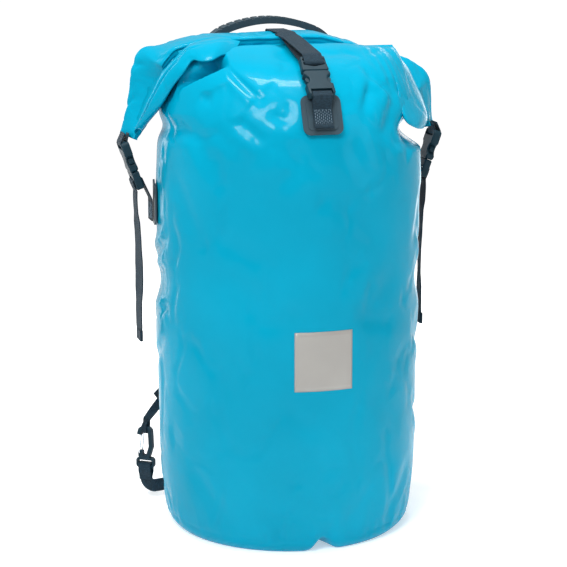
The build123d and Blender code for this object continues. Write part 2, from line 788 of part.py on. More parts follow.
def eye_loop(side):
    """The anchor webbing's closed end, round the clip's webbing bar."""
    foot = ANCHOR_Z - CLIP_Z + TURN_R
    points = [
        (0, foot - 0.2),
        (0, foot + 3),
        (EYE_LOOP, foot + 8),
        (EYE_LOOP, CLIP_BAR + EYE_LOOP),
        (-EYE_LOOP, CLIP_BAR + EYE_LOOP),
        (-EYE_LOOP, foot + 9.5),
        (-1.2, foot + 6.2),
    ]
    return ribbon(hook_view(side), points, CLIP_WEB, 1.4).part


for side, name in ((-1, "left"), (1, "right")):
    finish(clip_body(clip_plane(side)), f"clip_body_{name}")
    finish(clip_gate(clip_plane(side)), f"clip_gate_{name}")
    rise = anchor_band(side)
    loop = eye_loop(side)
    with BuildPart() as anchor:
        add(rise)
        add(loop)
    finish(anchor, f"clip_anchor_webbing_{name}")

# ---------------------------------------------------------------- strap adjusters and lower webbing

ADJUSTER_THICK = 3.6
ADJUSTER_SLOT = 4.3  # distance of each slot from the adjuster's middle
ADJUSTER_HALF = 9.5
ADJUSTER_WIDTH = 28.0
LAYER_OUT = 3.2  # webbing layers lie this far in front of and behind the adjuster's middle plane
HOOK_LOOP = CLIP_THICK / 2 + 0.5 + WEB_THICK / 2
HOOK_TAPE = 7.0  # the narrow tape at the strap's end
FREE_END = 62.0


def adjuster_plane(side):
    """Local X across the strap, local Y down it towards the clip, local Z away from the bag."""
    start = radial(36.5, 190, 163, side)
    along = (clip_point(side, 0, HOOK_TOP + 14, HOOK_LOOP) - start).normalized()
    across = along.cross(radial(44, 1, 0, side)).normalized()
    return Plane(origin=start + along * ADJUSTER_HALF, x_dir=across, z_dir=across.cross(along))


def adjuster_side_view(plane):
    """The adjuster seen edge-on: local X down the strap, local Y away from the bag."""
    return Plane(origin=plane.origin, x_dir=plane.y_dir, z_dir=plane.y_dir.cross(plane.z_dir))


def adjuster(plane):
    """A flat frame with two webbing slots."""
    with BuildPart() as frame:
        with BuildSketch(plane.offset(-ADJUSTER_THICK / 2)):
            RectangleRounded(ADJUSTER_WIDTH, 2 * ADJUSTER_HALF, 3)
            with Locations((0, ADJUSTER_SLOT), (0, -ADJUSTER_SLOT)):
                RectangleRounded(20.5, 4.4, 1, mode=Mode.SUBTRACT)
        extrude(amount=ADJUSTER_THICK)
    return frame


def hook_tape(side):
    """The strap's narrow end, looped through the hook."""
    points = [
        (HOOK_LOOP, HOOK_TOP + 9),
        (HOOK_LOOP, HOOK_TOP - 5.2),
        (-HOOK_LOOP, HOOK_TOP - 5.2),
        (-HOOK_LOOP, HOOK_TOP + 5),
        (HOOK_LOOP - 1.8, HOOK_TOP + 9),
    ]
    return ribbon(hook_view(side), points, HOOK_TAPE, 1.0).part


for side, name in ((-1, "left"), (1, "right")):
    plane = adjuster_plane(side)
    finish(adjuster(plane), f"strap_adjuster_{name}")
    edge_view = adjuster_side_view(plane)
    tab = [
        (-ADJUSTER_HALF - 5, -1),
        (-ADJUSTER_HALF - 1, -LAYER_OUT),
        (-ADJUSTER_SLOT, -LAYER_OUT),
        (-ADJUSTER_SLOT, LAYER_OUT),
        (-ADJUSTER_HALF - 1, LAYER_OUT),
        (-ADJUSTER_HALF - 5, 1),
    ]
    finish(ribbon(edge_view, tab, CLIP_WEB, 1.0), f"adjuster_tab_{name}")
    through = [
        (FREE_END, LAYER_OUT + 6),
        (ADJUSTER_HALF + 4, LAYER_OUT),
        (ADJUSTER_SLOT, LAYER_OUT),
        (ADJUSTER_SLOT, -LAYER_OUT),
        (ADJUSTER_HALF + 8, -LAYER_OUT),
    ]
    upper = ribbon(edge_view, through, CLIP_WEB, 1.0).part
    across_end = radial(90 - CLIP_BEARING, 1, 0, side)
    if across_end.dot(plane.x_dir) < 0:
        across_end = across_end * -1
    run_start = plane.from_local_coords(Vector(0, ADJUSTER_HALF + 7, -LAYER_OUT))
    run_end = clip_point(side, 0, HOOK_TOP + 8.5, HOOK_LOOP)
    run = banded(
        [
            (run_start, plane.x_dir, plane.y_dir, CLIP_WEB),
            (run_end, across_end, Vector(0, 0, -1), HOOK_TAPE),
        ]
    ).part
    tape = hook_tape(side)
    with BuildPart() as lower:
        add(upper)
        add(run)
        add(tape)
    finish(lower, f"strap_webbing_{name}")
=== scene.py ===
"""Looks for the roll-top dry bag: fabric, webbing, stitching, materials, light and camera, in metres."""

import math

import bpy
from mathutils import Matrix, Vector, noise


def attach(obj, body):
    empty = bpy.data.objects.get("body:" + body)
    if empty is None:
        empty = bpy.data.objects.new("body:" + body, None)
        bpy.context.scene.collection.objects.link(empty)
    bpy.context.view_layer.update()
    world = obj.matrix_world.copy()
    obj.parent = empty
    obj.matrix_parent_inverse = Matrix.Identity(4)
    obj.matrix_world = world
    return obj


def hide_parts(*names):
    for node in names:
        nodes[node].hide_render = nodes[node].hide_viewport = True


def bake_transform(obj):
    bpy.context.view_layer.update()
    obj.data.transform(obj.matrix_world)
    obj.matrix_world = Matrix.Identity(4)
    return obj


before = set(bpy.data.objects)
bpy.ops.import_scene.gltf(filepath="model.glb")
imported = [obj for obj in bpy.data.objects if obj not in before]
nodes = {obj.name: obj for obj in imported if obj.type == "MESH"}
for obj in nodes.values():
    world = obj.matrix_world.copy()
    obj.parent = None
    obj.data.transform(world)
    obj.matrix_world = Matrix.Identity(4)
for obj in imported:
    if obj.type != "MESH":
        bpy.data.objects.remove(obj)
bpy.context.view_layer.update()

# -------- sizes shared with the CAD

BODY_R = 0.171
SHOULDER_Z = 0.420
CREST_Z = 0.618
FULLNESS = 3.2
MOUTH_NARROWING = 0.17
ROLL_Y = 0.036
ROLL_Z = 0.6285
ROLL_WIDTH = 0.062
ROLL_THICK = 0.019
ROLL_TIP_X = 0.204
ROLL_TIP_Z = 0.512
STIFFENER_HALF = 0.140
STIFFENER_WIDTH = 0.030
STIFFENER_THICK = 0.0018

WEB = 0.024
NARROW_WEB = 0.020
CLIP_WEB = 0.018
WEB_THICK = 0.0016
LAYER_LOW = 0.0030  # the lower and the upper layer of doubled webbing lie this far above a patch's foot
LAYER_HIGH = 0.0047
LABEL_SIDE = 0.075
SEAM_WIDTH = 0.022

PATCH_Z = 0.553
PATCH_FOOT = 0.0004  # room between a patch and the skin
FRONT_BUCKLE_Z = 0.590
FRONT_BUCKLE_AT = (0, -0.032, 0.0079)
HOUSING_SLOT = 0.0065  # a buckle's slots, measured from its bar's end
TONGUE_SLOT = 0.0505
HOUSING_WEB = 0.0036  # webbing lies this far in front of and behind the housing's bar
TONGUE_WEB = 0.0062  # and this far from the tongue's bar
SIDE_Y = 0.028
SIDE_LEAN = math.radians(19)
SIDE_BAR_END = (0.210, SIDE_Y, 0.505)
SIDE_FACE = 0.1745  # webbing sewn on a side patch lies this far from the bag's middle
TAIL_X = 0.191
TAIL_END_Z = 0.245
HANDLE_PATCH = (0.092, 0.587)
HANDLE_TAB_END = (0.092, 0.099, 0.6032)

CLIP_BEARING = 35.0
CLIP_R = 0.205
CLIP_Z = 0.047
CLIP_BAR = -0.0024
HOOK_TOP = 0.051
HOOK_LOOP = 0.0048
ANCHOR_Z = 0.018
TURN_R = 0.011
EYE_LOOP = 0.0054
ADJUSTER_HALF = 0.0095
ADJUSTER_SLOT = 0.0043
LAYER_OUT = 0.0032
ROOT_BEARING = 17

SIDES = ((-1, "left"), (1, "right"))
ALONG_X = Vector((1, 0, 0))
ALONG_Y = Vector((0, 1, 0))
UP = Vector((0, 0, 1))

# -------- materials

CYAN = (0.0, 0.300, 0.464)
WEB_COLOR = (0.011, 0.030, 0.047)
BINDING_COLOR = (0.02, 0.03, 0.045)
PACK_CLOTH = (0.02, 0.036, 0.05)
HARDWARE = (0.007, 0.027, 0.040)
RUBBER = (0.017, 0.040, 0.056)
THREAD = (0.16, 0.24, 0.31)
STRIP = (0.03, 0.035, 0.04)


class Shader:
    """A Principled material with short helpers for its nodes."""

    def __init__(self, name, color, roughness, **sockets):
        self.material = bpy.data.materials.new(name)
        self.material.use_nodes = True
        self.tree = self.material.node_tree
        self.shader = self.tree.nodes["Principled BSDF"]
        self.shader.inputs["Base Color"].default_value = (*color, 1)
        self.shader.inputs["Roughness"].default_value = roughness
        for socket, value in sockets.items():
            self.shader.inputs[socket.replace("_", " ")].default_value = value
        self.coords = self.tree.nodes.new("ShaderNodeTexCoord")

    def node(self, kind, links=None, **values):
        made = self.tree.nodes.new(kind)
        for key, value in values.items():
            if key in made.inputs:
                made.inputs[key].default_value = value
            else:
                setattr(made, key, value)
        for key, source in (links or {}).items():
            self.tree.links.new(source, made.inputs[key])
        return made

    def noise(self, scale, detail=3.0, source="Object", stretch=(1, 1, 1)):
        place = self.node("ShaderNodeMapping", {"Vector": self.coords.outputs[source]})
        place.inputs["Scale"].default_value = stretch
        made = self.node("ShaderNodeTexNoise", {"Vector": place.outputs[0]}, Scale=scale, Detail=detail)
        return made.outputs["Fac"]

    def wave(self, scale, direction, source="UV"):
        links = {"Vector": self.coords.outputs[source]}
        return self.node("ShaderNodeTexWave", links, Scale=scale, bands_direction=direction).outputs["Fac"]

    def math(self, operation, first, second):
        made = self.node("ShaderNodeMath", operation=operation)
        for socket, value in zip(made.inputs, (first, second)):
            if isinstance(value, (int, float)):
                socket.default_value = value
            else:
                self.tree.links.new(value, socket)
        return made.outputs[0]

    def tint(self, factor, stops):
        """Colours along a factor, linked to the base colour. stops are (position, colour)."""
        ramp = self.node("ShaderNodeValToRGB", {"Fac": factor})
        elements = ramp.color_ramp.elements
        while len(elements) < len(stops):
            elements.new(0.5)
        for element, (position, color) in zip(elements, stops):
            element.position = position
            element.color = (*color, 1)
        self.tree.links.new(ramp.outputs["Color"], self.shader.inputs["Base Color"])

    def rough(self, factor, low, high):
        spread = self.node("ShaderNodeMapRange", {"Value": factor}, **{"To Min": low, "To Max": high})
        self.tree.links.new(spread.outputs[0], self.shader.inputs["Roughness"])

    def bump(self, *layers):
        """Stacked bumps, each (height, distance in metres, strength)."""
        normal = None
        for height, distance, strength in layers:
            links = {"Height": height}
            if normal is not None:
                links["Normal"] = normal
            made = self.node("ShaderNodeBump", links, Distance=distance, Strength=strength)
            normal = made.outputs[0]
        self.tree.links.new(normal, self.shader.inputs["Normal"])


def scaled(color, factor):
    return tuple(channel * factor for channel in color)


def coated_fabric():
    """Glossy coating over a woven scrim: soft buckling, a faint weave, scuffs and fine grain."""
    gloss = {"Coat_Weight": 0.12, "Coat_Roughness": 0.06, "Specular_IOR_Level": 0.02}
    made = Shader("coated_fabric", CYAN, 0.3, **gloss)
    broad = made.noise(6.0, 4.0)
    ripple = made.noise(22.0, 3.0, stretch=(1, 1, 0.55))
    grain = made.noise(900.0, 2.0)
    weave = made.math("ADD", made.wave(700.0, "Z", "Object"), made.wave(700.0, "X", "Object"))
    made.tint(broad, [(0.3, scaled(CYAN, 0.9)), (0.55, CYAN), (0.75, scaled(CYAN, 1.08))])
    facets = made.node("ShaderNodeTexVoronoi", {"Vector": made.coords.outputs["Object"]}, Scale=26.0)
    facets.feature = "SMOOTH_F1"
    facets.inputs["Smoothness"].default_value = 0.35
    made.rough(made.noise(40.0, 5.0), 0.16, 0.3)
    made.bump(
        (ripple, 0.003, 0.35),
        (facets.outputs["Distance"], 0.005, 0.22),
        (weave, 0.00008, 0.3),
        (grain, 0.0001, 0.25),
    )
    return made.material


def woven_web(name, color):
    """Ribbed webbing: ribs across its width, picks along it, and lighter fuzzy flecks."""
    made = Shader(name, color, 0.72, Sheen_Weight=0.05, Sheen_Roughness=0.5, Specular_IOR_Level=0.18)
    ribs = made.wave(260.0, "X")
    picks = made.wave(420.0, "Y")
    cloth = made.math("MULTIPLY", ribs, picks)
    fuzz = made.noise(1500.0, 2.0)
    flecks = made.noise(520.0, 4.0, "UV", (0.5, 1, 1))
    yarns = made.math("ADD", made.math("MULTIPLY", cloth, 0.45), made.math("MULTIPLY", flecks, 0.65))
    made.tint(yarns, [(0.15, scaled(color, 0.45)), (0.42, color), (0.75, scaled(color, 2.6))])
    made.rough(made.noise(60.0, 3.0), 0.62, 0.82)
    made.bump((ribs, 0.0005, 0.9), (picks, 0.0003, 0.7), (flecks, 0.0004, 0.5), (fuzz, 0.0001, 0.4))
    return made.material


def moulded(name, color, roughness, grain_scale, grain_depth, wear=1.5, shine=0.45):
    """Moulded plastic or rubber: fine grain, uneven gloss, slightly lighter worn areas."""
    made = Shader(name, color, roughness, Specular_IOR_Level=shine)
    stops = [(0.35, color), (0.62, scaled(color, 1.15)), (0.8, scaled(color, wear))]
    made.tint(made.noise(45.0, 6.0), stops)
    made.rough(made.noise(120.0, 4.0), roughness - 0.07, roughness + 0.09)
    made.bump((made.noise(grain_scale, 3.0), grain_depth, 0.5), (made.noise(35.0, 2.0), 0.0004, 0.15))
    return made.material


def wire_steel():
    """Drawn stainless wire with fine lines along it."""
    made = Shader("gate_wire", (0.75, 0.76, 0.78), 0.22, Metallic=1.0)
    made.rough(made.noise(300.0, 3.0, stretch=(1, 1, 0.05)), 0.15, 0.32)
    made.bump((made.noise(800.0, 2.0, stretch=(1, 1, 0.05)), 0.00005, 0.4))
    return made.material


def label_film():
    """Plain warm-grey reflective film: tiny glass beads under a satin face."""
    made = Shader("label_film", (0.33, 0.32, 0.3), 0.42, Metallic=0.25, Coat_Weight=0.2)
    beads = made.node("ShaderNodeTexVoronoi", {"Vector": made.coords.outputs["Object"]}, Scale=1400.0)
    made.tint(made.noise(14.0, 3.0), [(0.3, (0.31, 0.3, 0.282)), (0.7, (0.35, 0.34, 0.32))])
    made.rough(made.noise(30.0, 4.0), 0.36, 0.5)
    made.bump((beads.outputs["Distance"], 0.0001, 0.35))
    return made.material


def pad_cloth():
    """Plain-woven pack cloth."""
    made = Shader("pad_cloth", PACK_CLOTH, 0.8, Sheen_Weight=0.3, Sheen_Roughness=0.4)
    weave = made.math("MULTIPLY", made.wave(330.0, "X"), made.wave(330.0, "Y"))
    made.tint(weave, [(0.0, scaled(PACK_CLOTH, 0.6)), (0.5, PACK_CLOTH), (1.0, scaled(PACK_CLOTH, 1.7))])
    made.rough(made.noise(50.0, 4.0), 0.7, 0.88)
    made.bump((weave, 0.0005, 0.7), (made.noise(26.0, 3.0), 0.003, 0.3))
    return made.material


def studio_floor():
    """Nearly white, and glowing more with distance, so that it meets the white background."""
    made = Shader("floor", (0.93, 0.93, 0.93), 0.9, Emission_Color=(1, 1, 1, 1))
    away = made.node("ShaderNodeVectorMath", {"Vector": made.coords.outputs["Object"]}, operation="LENGTH")
    ramp = {"From Min": 0.6, "From Max": 4.5, "To Min": 0.40, "To Max": 0.66}
    glow = made.node("ShaderNodeMapRange", {"Value": away.outputs["Value"]}, **ramp)
    made.tree.links.new(glow.outputs[0], made.shader.inputs["Emission Strength"])
    made.tint(made.noise(2.0, 2.0), [(0.3, (0.92, 0.92, 0.92)), (0.7, (0.94, 0.94, 0.94))])
    return made.material


material = {
    "coated": coated_fabric(),
    "webbing": woven_web("webbing", WEB_COLOR),
    "hardware": moulded("buckle_plastic", HARDWARE, 0.46, 700.0, 0.00012, shine=0.16),
    "rubber": moulded("moulded_rubber", RUBBER, 0.55, 420.0, 0.0003),
    "grip": moulded("grip_rubber", scaled(RUBBER, 0.9), 0.6, 350.0, 0.0004, 1.8),
    "wire": wire_steel(),
    "label": label_film(),
    "pad": pad_cloth(),
    "thread": moulded("thread", THREAD, 0.7, 2500.0, 0.0001),
    "binding": woven_web("binding_tape", BINDING_COLOR),
    "stiffener": moulded("stiffener_strip", STRIP, 0.5, 500.0, 0.0002),
    "floor": studio_floor(),
}

# -------- mesh helpers


def new_mesh(name, vertices, faces, look, uvs=None):
    """A smooth-shaded mesh object with one material. uvs gives one pair for each vertex."""
    mesh = bpy.data.meshes.new(name)
    mesh.from_pydata([tuple(v) for v in vertices], [], faces)
    mesh.validate()
    if uvs is not None:
        layer = mesh.uv_layers.new(name="UVMap")
        for loop in mesh.loops:
            layer.data[loop.index].uv = uvs[loop.vertex_index]
    mesh.polygons.foreach_set("use_smooth", [True] * len(mesh.polygons))
    mesh.materials.append(material[look])
    made = bpy.data.objects.new(name, mesh)
    bpy.context.scene.collection.objects.link(made)
    return made


def grid_faces(rows, columns, wrap):
    """Quads over a grid of vertices, closed round each row if wrap is set."""
    faces = []
    last = columns if wrap else columns - 1
    for row in range(rows - 1):
        for column in range(last):
            beside = (column + 1) % columns
            low = row * columns
            high = low + columns
            faces.append((low + column, low + beside, high + beside, high + column))
    return faces


def tube_faces(rings, count):
    """Quads round a tube of rings of count vertices, with a cap at each end."""
    faces = grid_faces(rings, count, True)
    faces.append(tuple(reversed(range(count))))
    faces.append(tuple(range((rings - 1) * count, rings * count)))
    return faces


def belongs(piece, slot, *replaced, body=None):
    if body is not None:
        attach(piece, body)
    if replaced:
        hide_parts(*replaced)


def smoothstep(low, high, value):
    share = min(1.0, max(0.0, (value - low) / (high - low)))
    return share * share * (3 - 2 * share)


def hill(distance, width):
    """1 at no distance, fading to nothing a few widths away."""
    return math.exp(-((distance / width) ** 2))


def swell(value, power):
    """A cosine or sine with its power changed and its sign kept, which squares off a circle."""
    return math.copysign(abs(value) ** power, value)


def wander(x, y, z):
    """Smooth, repeatable variation between -1 and 1."""
    return noise.noise(Vector((x, y, z)))


def along_points(points, share):
    """A point on a smooth curve through evenly numbered points (Catmull-Rom), share from 0 to 1."""
    place = share * (len(points) - 1)
    k = min(int(place), len(points) - 2)
    t = place - k
    before = points[max(k - 1, 0)]
    start = points[k]
    end = points[k + 1]
    after = points[min(k + 2, len(points) - 1)]
    return 0.5 * (
        2 * start
        + (end - before) * t
        + (2 * before - 5 * start + 4 * end - after) * t * t
        + (3 * start - before - 3 * end + after) * t * t * t
    )


CORNER_SHARE = 0.48  # a rounded corner takes at most this share of a run


def rounded(points, across, radius, steps=5):
    """A path with rounded corners: (point, across) pairs. across is one vector, or one for each point."""
    if isinstance(across, Vector):
        across = [across] * len(points)
    path = [(points[0], across[0])]
    for k in range(1, len(points) - 1):
        corner = points[k]
        before = points[k - 1] - corner
        after = points[k + 1] - corner
        start = corner + before.normalized() * min(radius, before.length * CORNER_SHARE)
        end = corner + after.normalized() * min(radius, after.length * CORNER_SHARE)
        for step in range(steps + 1):
            t = step / steps
            point = start * (1 - t) ** 2 + corner * 2 * t * (1 - t) + end * t * t
            lean = across[k - 1].lerp(across[k], 0.5 + 0.5 * t) if t < 0.5 else across[k]
            path.append((point, lean.lerp(across[k], 0.5 + abs(t - 0.5))))
    path.append((points[-1], across[-1]))
    return path


def refined(path, spacing):
    """The same path with points added so that none are further apart than spacing."""
    dense = [path[0]]
    for (start, lean_start), (end, lean_end) in zip(path, path[1:]):
        count = max(1, math.ceil((end - start).length / spacing))
        for step in range(1, count + 1):
            t = step / count
            dense.append((start.lerp(end, t), lean_start.lerp(lean_end, t)))
    return dense


def web_section(width, thick):
    """Half-width positions and heights round a strap's section, with slightly thicker selvedges."""
    half = width / 2
    edge = thick * 0.5
    selvedge = [(-half, 0.2), (-half * 0.985, 0.85), (-half * 0.93, 1.08), (-half * 0.86, 0.92)]
    top = selvedge + [(0.0, 1.0)] + [(-x, y) for x, y in reversed(selvedge)]
    return [(x, y * edge) for x, y in top] + [(x, -y * edge) for x, y in reversed(top)]


def strap(name, points, across, width, radius=0.0015, thick=WEB_THICK, widths=(1.0, 1.0)):
    """Webbing along a path, with UVs in metres: X across it, Y along it. widths scale its two ends."""
    path = refined(rounded(points, across, radius), 0.006)
    section = web_section(width, thick)
    last = len(path) - 1
    vertices = []
    uvs = []
    run = 0.0
    for k, (point, lean) in enumerate(path):
        ahead = path[min(k + 1, last)][0]
        behind = path[max(k - 1, 0)][0]
        run += (point - behind).length
        heading = (ahead - behind).normalized()
        flat = (lean - heading * lean.dot(heading)).normalized()
        face = heading.cross(flat)
        scale = widths[0] + (widths[1] - widths[0]) * k / last
        for x, y in section:
            vertices.append(point + flat * x * scale + face * y)
            uvs.append((x + 0.5, run))
    return new_mesh(name, vertices, tube_faces(len(path), len(section)), "webbing", uvs)


def joined(name, objects):
    """Several meshes made into one piece."""
    bpy.ops.object.select_all(action="DESELECT")
    for piece in objects:
        piece.select_set(True)
    bpy.context.view_layer.objects.active = objects[0]
    bpy.ops.object.join()
    objects[0].name = name
    return objects[0]


STITCH = 0.0026
STITCH_GAP = 0.0011
THREAD_R = 0.00032
STITCH_LIFT = 0.0002  # the thread's middle above the webbing's face
STITCH_DOUBLE = 0.0014  # between the two rows of a doubled line
STITCH_STAGGER = 0.0009
BEAD_RINGS = ((-0.5, 0.35), (-0.3, 1.0), (0.3, 1.0), (0.5, 0.35))  # share of a stitch, share of its girth
BEAD_SIDES = 6


def stitches(name, lines, face):
    """Rows of sewn thread as small rounded beads. lines are (start, end) pairs on the webbing's face."""
    vertices = []
    faces = []
    bead_faces = tube_faces(len(BEAD_RINGS), BEAD_SIDES)
    for start, end in lines:
        heading = (end - start).normalized()
        beside = heading.cross(face).normalized()
        count = max(1, int((end - start).length / (STITCH + STITCH_GAP)))
        for k in range(count):
            middle = start.lerp(end, (k + 0.5) / count)
            first = len(vertices)
            for share, girth in BEAD_RINGS:
                for turn in range(BEAD_SIDES):
                    angle = 2 * math.pi * turn / BEAD_SIDES
                    swing = beside * math.cos(angle) + face * math.sin(angle)
                    vertices.append(middle + heading * share * STITCH + swing * THREAD_R * girth)
            faces += [tuple(first + v for v in bead_face) for bead_face in bead_faces]
    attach(new_mesh(name, vertices, faces, "thread"), "bag")


def box_x(centre, across, along, face, width, height):
    """A box-X stitch: four sides and two diagonals, all doubled, just above the webbing's face."""
    lines = []
    for inset in (0.0, STITCH_DOUBLE):
        corners = []
        for x, y in ((-1, -1), (1, -1), (1, 1), (-1, 1)):
            corner = across * x * (width / 2 - inset) + along * y * (height / 2 - inset)
            corners.append(centre + corner + face * STITCH_LIFT)
        lines += zip(corners, corners[1:] + corners[:1])
        shift = across * inset
        lines += [(corners[0] + shift, corners[2] + shift), (corners[1] - shift, corners[3] - shift)]
    return lines


def stitch_block(centre, across, along, face, width, height, rows):
    """Close rows of stitching along the webbing, staggered, with a row across each end."""
    lines = []
    for row in range(rows):
        middle = centre + across * width * (row / (rows - 1) - 0.5) + face * STITCH_LIFT
        middle += along * STITCH_STAGGER * (-1) ** row
        lines.append((middle - along * height / 2, middle + along * height / 2))
    for end in (-1, 1):
        middle = centre + along * end * height / 2 + face * STITCH_LIFT
        lines.append((middle - across * width / 2, middle + across * width / 2))
    return lines


# -------- the bag's skin


def skin_y(x, z):
    """The dome's depth at a place, without creases."""
    rise = max(0.0, (z - SHOULDER_Z) / (CREST_Z - SHOULDER_Z))
    half_depth = BODY_R * (1 - rise**FULLNESS) ** (1 / FULLNESS)
    half_width = BODY_R * (1 - MOUTH_NARROWING * rise**3)
    return half_depth * math.sqrt(1 - (x / half_width) ** 2)


class Place:
    """A point with local X across, Y along and Z outward."""

    def __init__(self, origin, across, out):
        self.origin = Vector(origin)
        self.x = Vector(across).normalized()
        self.z = Vector(out).normalized()
        self.y = self.z.cross(self.x)

    def at(self, across, along, out):
        return self.origin + self.x * across + self.y * along + self.z * out

    def line(self, *places):
        """Points with nothing across, given as (along, out)."""
        return [self.at(0, along, out) for along, out in places]


def skin_place(x, z, facing, lift=0.0):
    """On the dome at the front (facing -1) or back (+1)."""
    step = 0.0005
    across_rate = (skin_y(x + step, z) - skin_y(x - step, z)) / (2 * step)
    up_rate = (skin_y(x, z + step) - skin_y(x, z - step)) / (2 * step)
    out = Vector((-across_rate, facing, -up_rate)).normalized()
    origin = Vector((x, facing * skin_y(x, z), z)) + out * lift
    return Place(origin, UP.cross(out), out)


# Where the base seam is pushed in and up: bearing and spread in degrees, lift, depth and reach upward.
KINK_BEARING = 2.0
KINK_SPREAD = 4.2
KINK_LIFT = 0.014
KINK_DEPTH = 0.009
KINK_REACH = 0.020

# Creases pressed into the stuffed fabric: bearing in degrees from the front (negative is left),
# height, the same at the other end, width and depth.
CREASES = [
    (-70, 0.588, -46, 0.611, 0.0068, 0.032), (-43, 0.608, -28, 0.574, 0.005, 0.0042),
    (48, 0.523, 116, 0.508, 0.0185, 0.0235), (-62, 0.531, -112, 0.52, 0.012, 0.006),
    (30, 0.6, 42, 0.572, 0.006, 0.004), (-14, 0.566, -11, 0.556, 0.006, 0.0022),
    (-22, 0.552, -10, 0.548, 0.007, 0.0022), (-36, 0.545, -26, 0.523, 0.008, 0.0026),
    (-8, 0.52, -16, 0.47, 0.012, 0.0022), (12, 0.52, 20, 0.47, 0.013, 0.002),
    (30, 0.59, 22, 0.556, 0.007, 0.003), (44, 0.57, 30, 0.525, 0.01, 0.003),
    (58, 0.54, 44, 0.48, 0.012, 0.003), (-58, 0.53, -44, 0.47, 0.012, 0.003),
    (-70, 0.47, -56, 0.4, 0.014, 0.0025), (68, 0.45, 55, 0.38, 0.014, 0.0025),
    (-38, 0.36, -22, 0.3, 0.018, 0.0028), (34, 0.35, 18, 0.28, 0.018, 0.0026),
    (4, 0.45, 24, 0.4, 0.014, 0.0022), (-20, 0.2, -2, 0.16, 0.014, 0.0018),
    (22, 0.2, 40, 0.15, 0.016, 0.0022), (-50, 0.26, -38, 0.2, 0.014, 0.0022),
    (-62, 0.1, -44, 0.045, 0.012, 0.003), (-30, 0.075, -18, 0.03, 0.012, 0.002),
    (24, 0.08, 10, 0.028, 0.011, 0.002), (52, 0.09, 38, 0.03, 0.012, 0.0026),
    (-126, 0.316, -84, 0.326, 0.024, 0.0062), (60, 0.335, 92, 0.318, 0.021, 0.0042),
    (-86, 0.408, -106, 0.384, 0.006, 0.0034), (-82, 0.382, -104, 0.352, 0.0065, 0.0036),
    (-84, 0.346, -100, 0.333, 0.0055, 0.0028), (-80, 0.298, -102, 0.276, 0.006, 0.0032),
    (-84, 0.255, -104, 0.214, 0.0075, 0.003), (62, 0.392, 78, 0.355, 0.007, 0.0028),
    (58, 0.262, 76, 0.236, 0.008, 0.003), (60, 0.172, 78, 0.128, 0.007, 0.0034),
    (-24, 0.292, -4, 0.306, 0.012, 0.0024), (-20, 0.238, -7, 0.262, 0.011, 0.0026),
    (16, 0.3, 40, 0.286, 0.012, 0.0024), (-46, 0.402, -24, 0.372, 0.014, 0.0024),
    (120, 0.56, 138, 0.5, 0.012, 0.003), (-120, 0.56, -138, 0.5, 0.012, 0.003),
    (160, 0.55, 152, 0.49, 0.011, 0.002), (-158, 0.56, -150, 0.5, 0.011, 0.002),
    (120, 0.11, 140, 0.05, 0.014, 0.003), (-118, 0.12, -136, 0.05, 0.014, 0.003),
]

CREASE_REACH = 45  # a crease is felt only within this many degrees


def crease_depth(bearing, z):
    """How far the creases press the skin in (positive) or push it out (negative) at a place."""
    total = 0.0
    for first, low, second, high, width, depth in CREASES:
        if abs(bearing - (first + second) / 2) > CREASE_REACH:
            continue
        start = Vector((math.radians(first) * BODY_R, low))
        run = Vector((math.radians(second) * BODY_R, high)) - start
        here = Vector((math.radians(bearing) * BODY_R, z)) - start
        share = here.dot(run) / run.length_squared
        fade = smoothstep(-0.25, 0.25, share) * (1 - smoothstep(0.75, 1.3, share))
        if fade <= 0:
            continue
        off = (here.x * run.y - here.y * run.x) / run.length
        total += depth * fade * (hill(off, width) - 0.45 * hill(off - 2.0 * width, 1.3 * width))
    return total


# Places where something is welded on, so the fabric stays smooth: bearing, height, reach in metres.
CALM = [
    (0, 0.251, 0.062),
    (0, 0.553, 0.036),
    (0, 0.590, 0.03),
    (99.4, 0.425, 0.04),
    (-99.4, 0.425, 0.04),
    (165, 0.45, 0.05),
    (195, 0.45, 0.05),
    (180, 0.555, 0.04),
    (180, 0.45, 0.05),
    (141, 0.026, 0.04),
    (-141, 0.026, 0.04),
    (138, 0.588, 0.03),
    (-138, 0.588, 0.03),
]


def calm(bearing, z):
    """0 where the fabric has to stay smooth, 1 elsewhere."""
    value = 1.0
    for where, height, reach in CALM:
        turn = abs((bearing - where + 180) % 360 - 180)
        away = math.hypot(math.radians(turn) * BODY_R, z - height)
        value = min(value, smoothstep(reach * 0.7, reach * 1.5, away))
    return value


BASE_TAPER = 0.015  # the tube narrows to its base by this much
BASE_TAPER_REACH = 0.05
BASE_ROUND = 0.006  # and its edge turns in by this much more
BASE_ROUND_Z = 0.012
SEAM_Z = 0.017  # the base seam is a fine groove at this height
CREST_RIDGE = 0.0085  # the fabric stands up in front of the roll
NECK_Z = 0.6195


def stuffed_shape(bearing, level):
    """The skin without creases, as x, y, z and the direction out of it."""
    side = math.sin(math.radians(bearing))
    front = -math.cos(math.radians(bearing))
    if level <= 1:
        z = SHOULDER_Z * level
        width = BODY_R - BASE_TAPER * math.exp(-z / BASE_TAPER_REACH)
        if z < BASE_ROUND_Z:
            width -= BASE_ROUND * (1 - z / BASE_ROUND_Z) ** 2
        depth = width
    else:
        turn = (level - 1) * math.pi / 2
        rise = math.sin(turn) ** (2 / FULLNESS)
        z = SHOULDER_Z + (CREST_Z - SHOULDER_Z) * rise
        width = BODY_R * (1 - MOUTH_NARROWING * rise**3)
        depth = BODY_R * max(0.02, math.cos(turn)) ** (2 / FULLNESS)
    x = width * side
    y = depth * front
    out = Vector((side / width, front / depth, 0))
    if level > 1:
        out.z = 2.2 * (level - 1) ** 3 / BODY_R
        if y < 0:
            z += CREST_RIDGE * hill(y + 0.016, 0.032) * (1 - smoothstep(0.05, 0.15, abs(x)))
    return x, y, z, out.normalized()


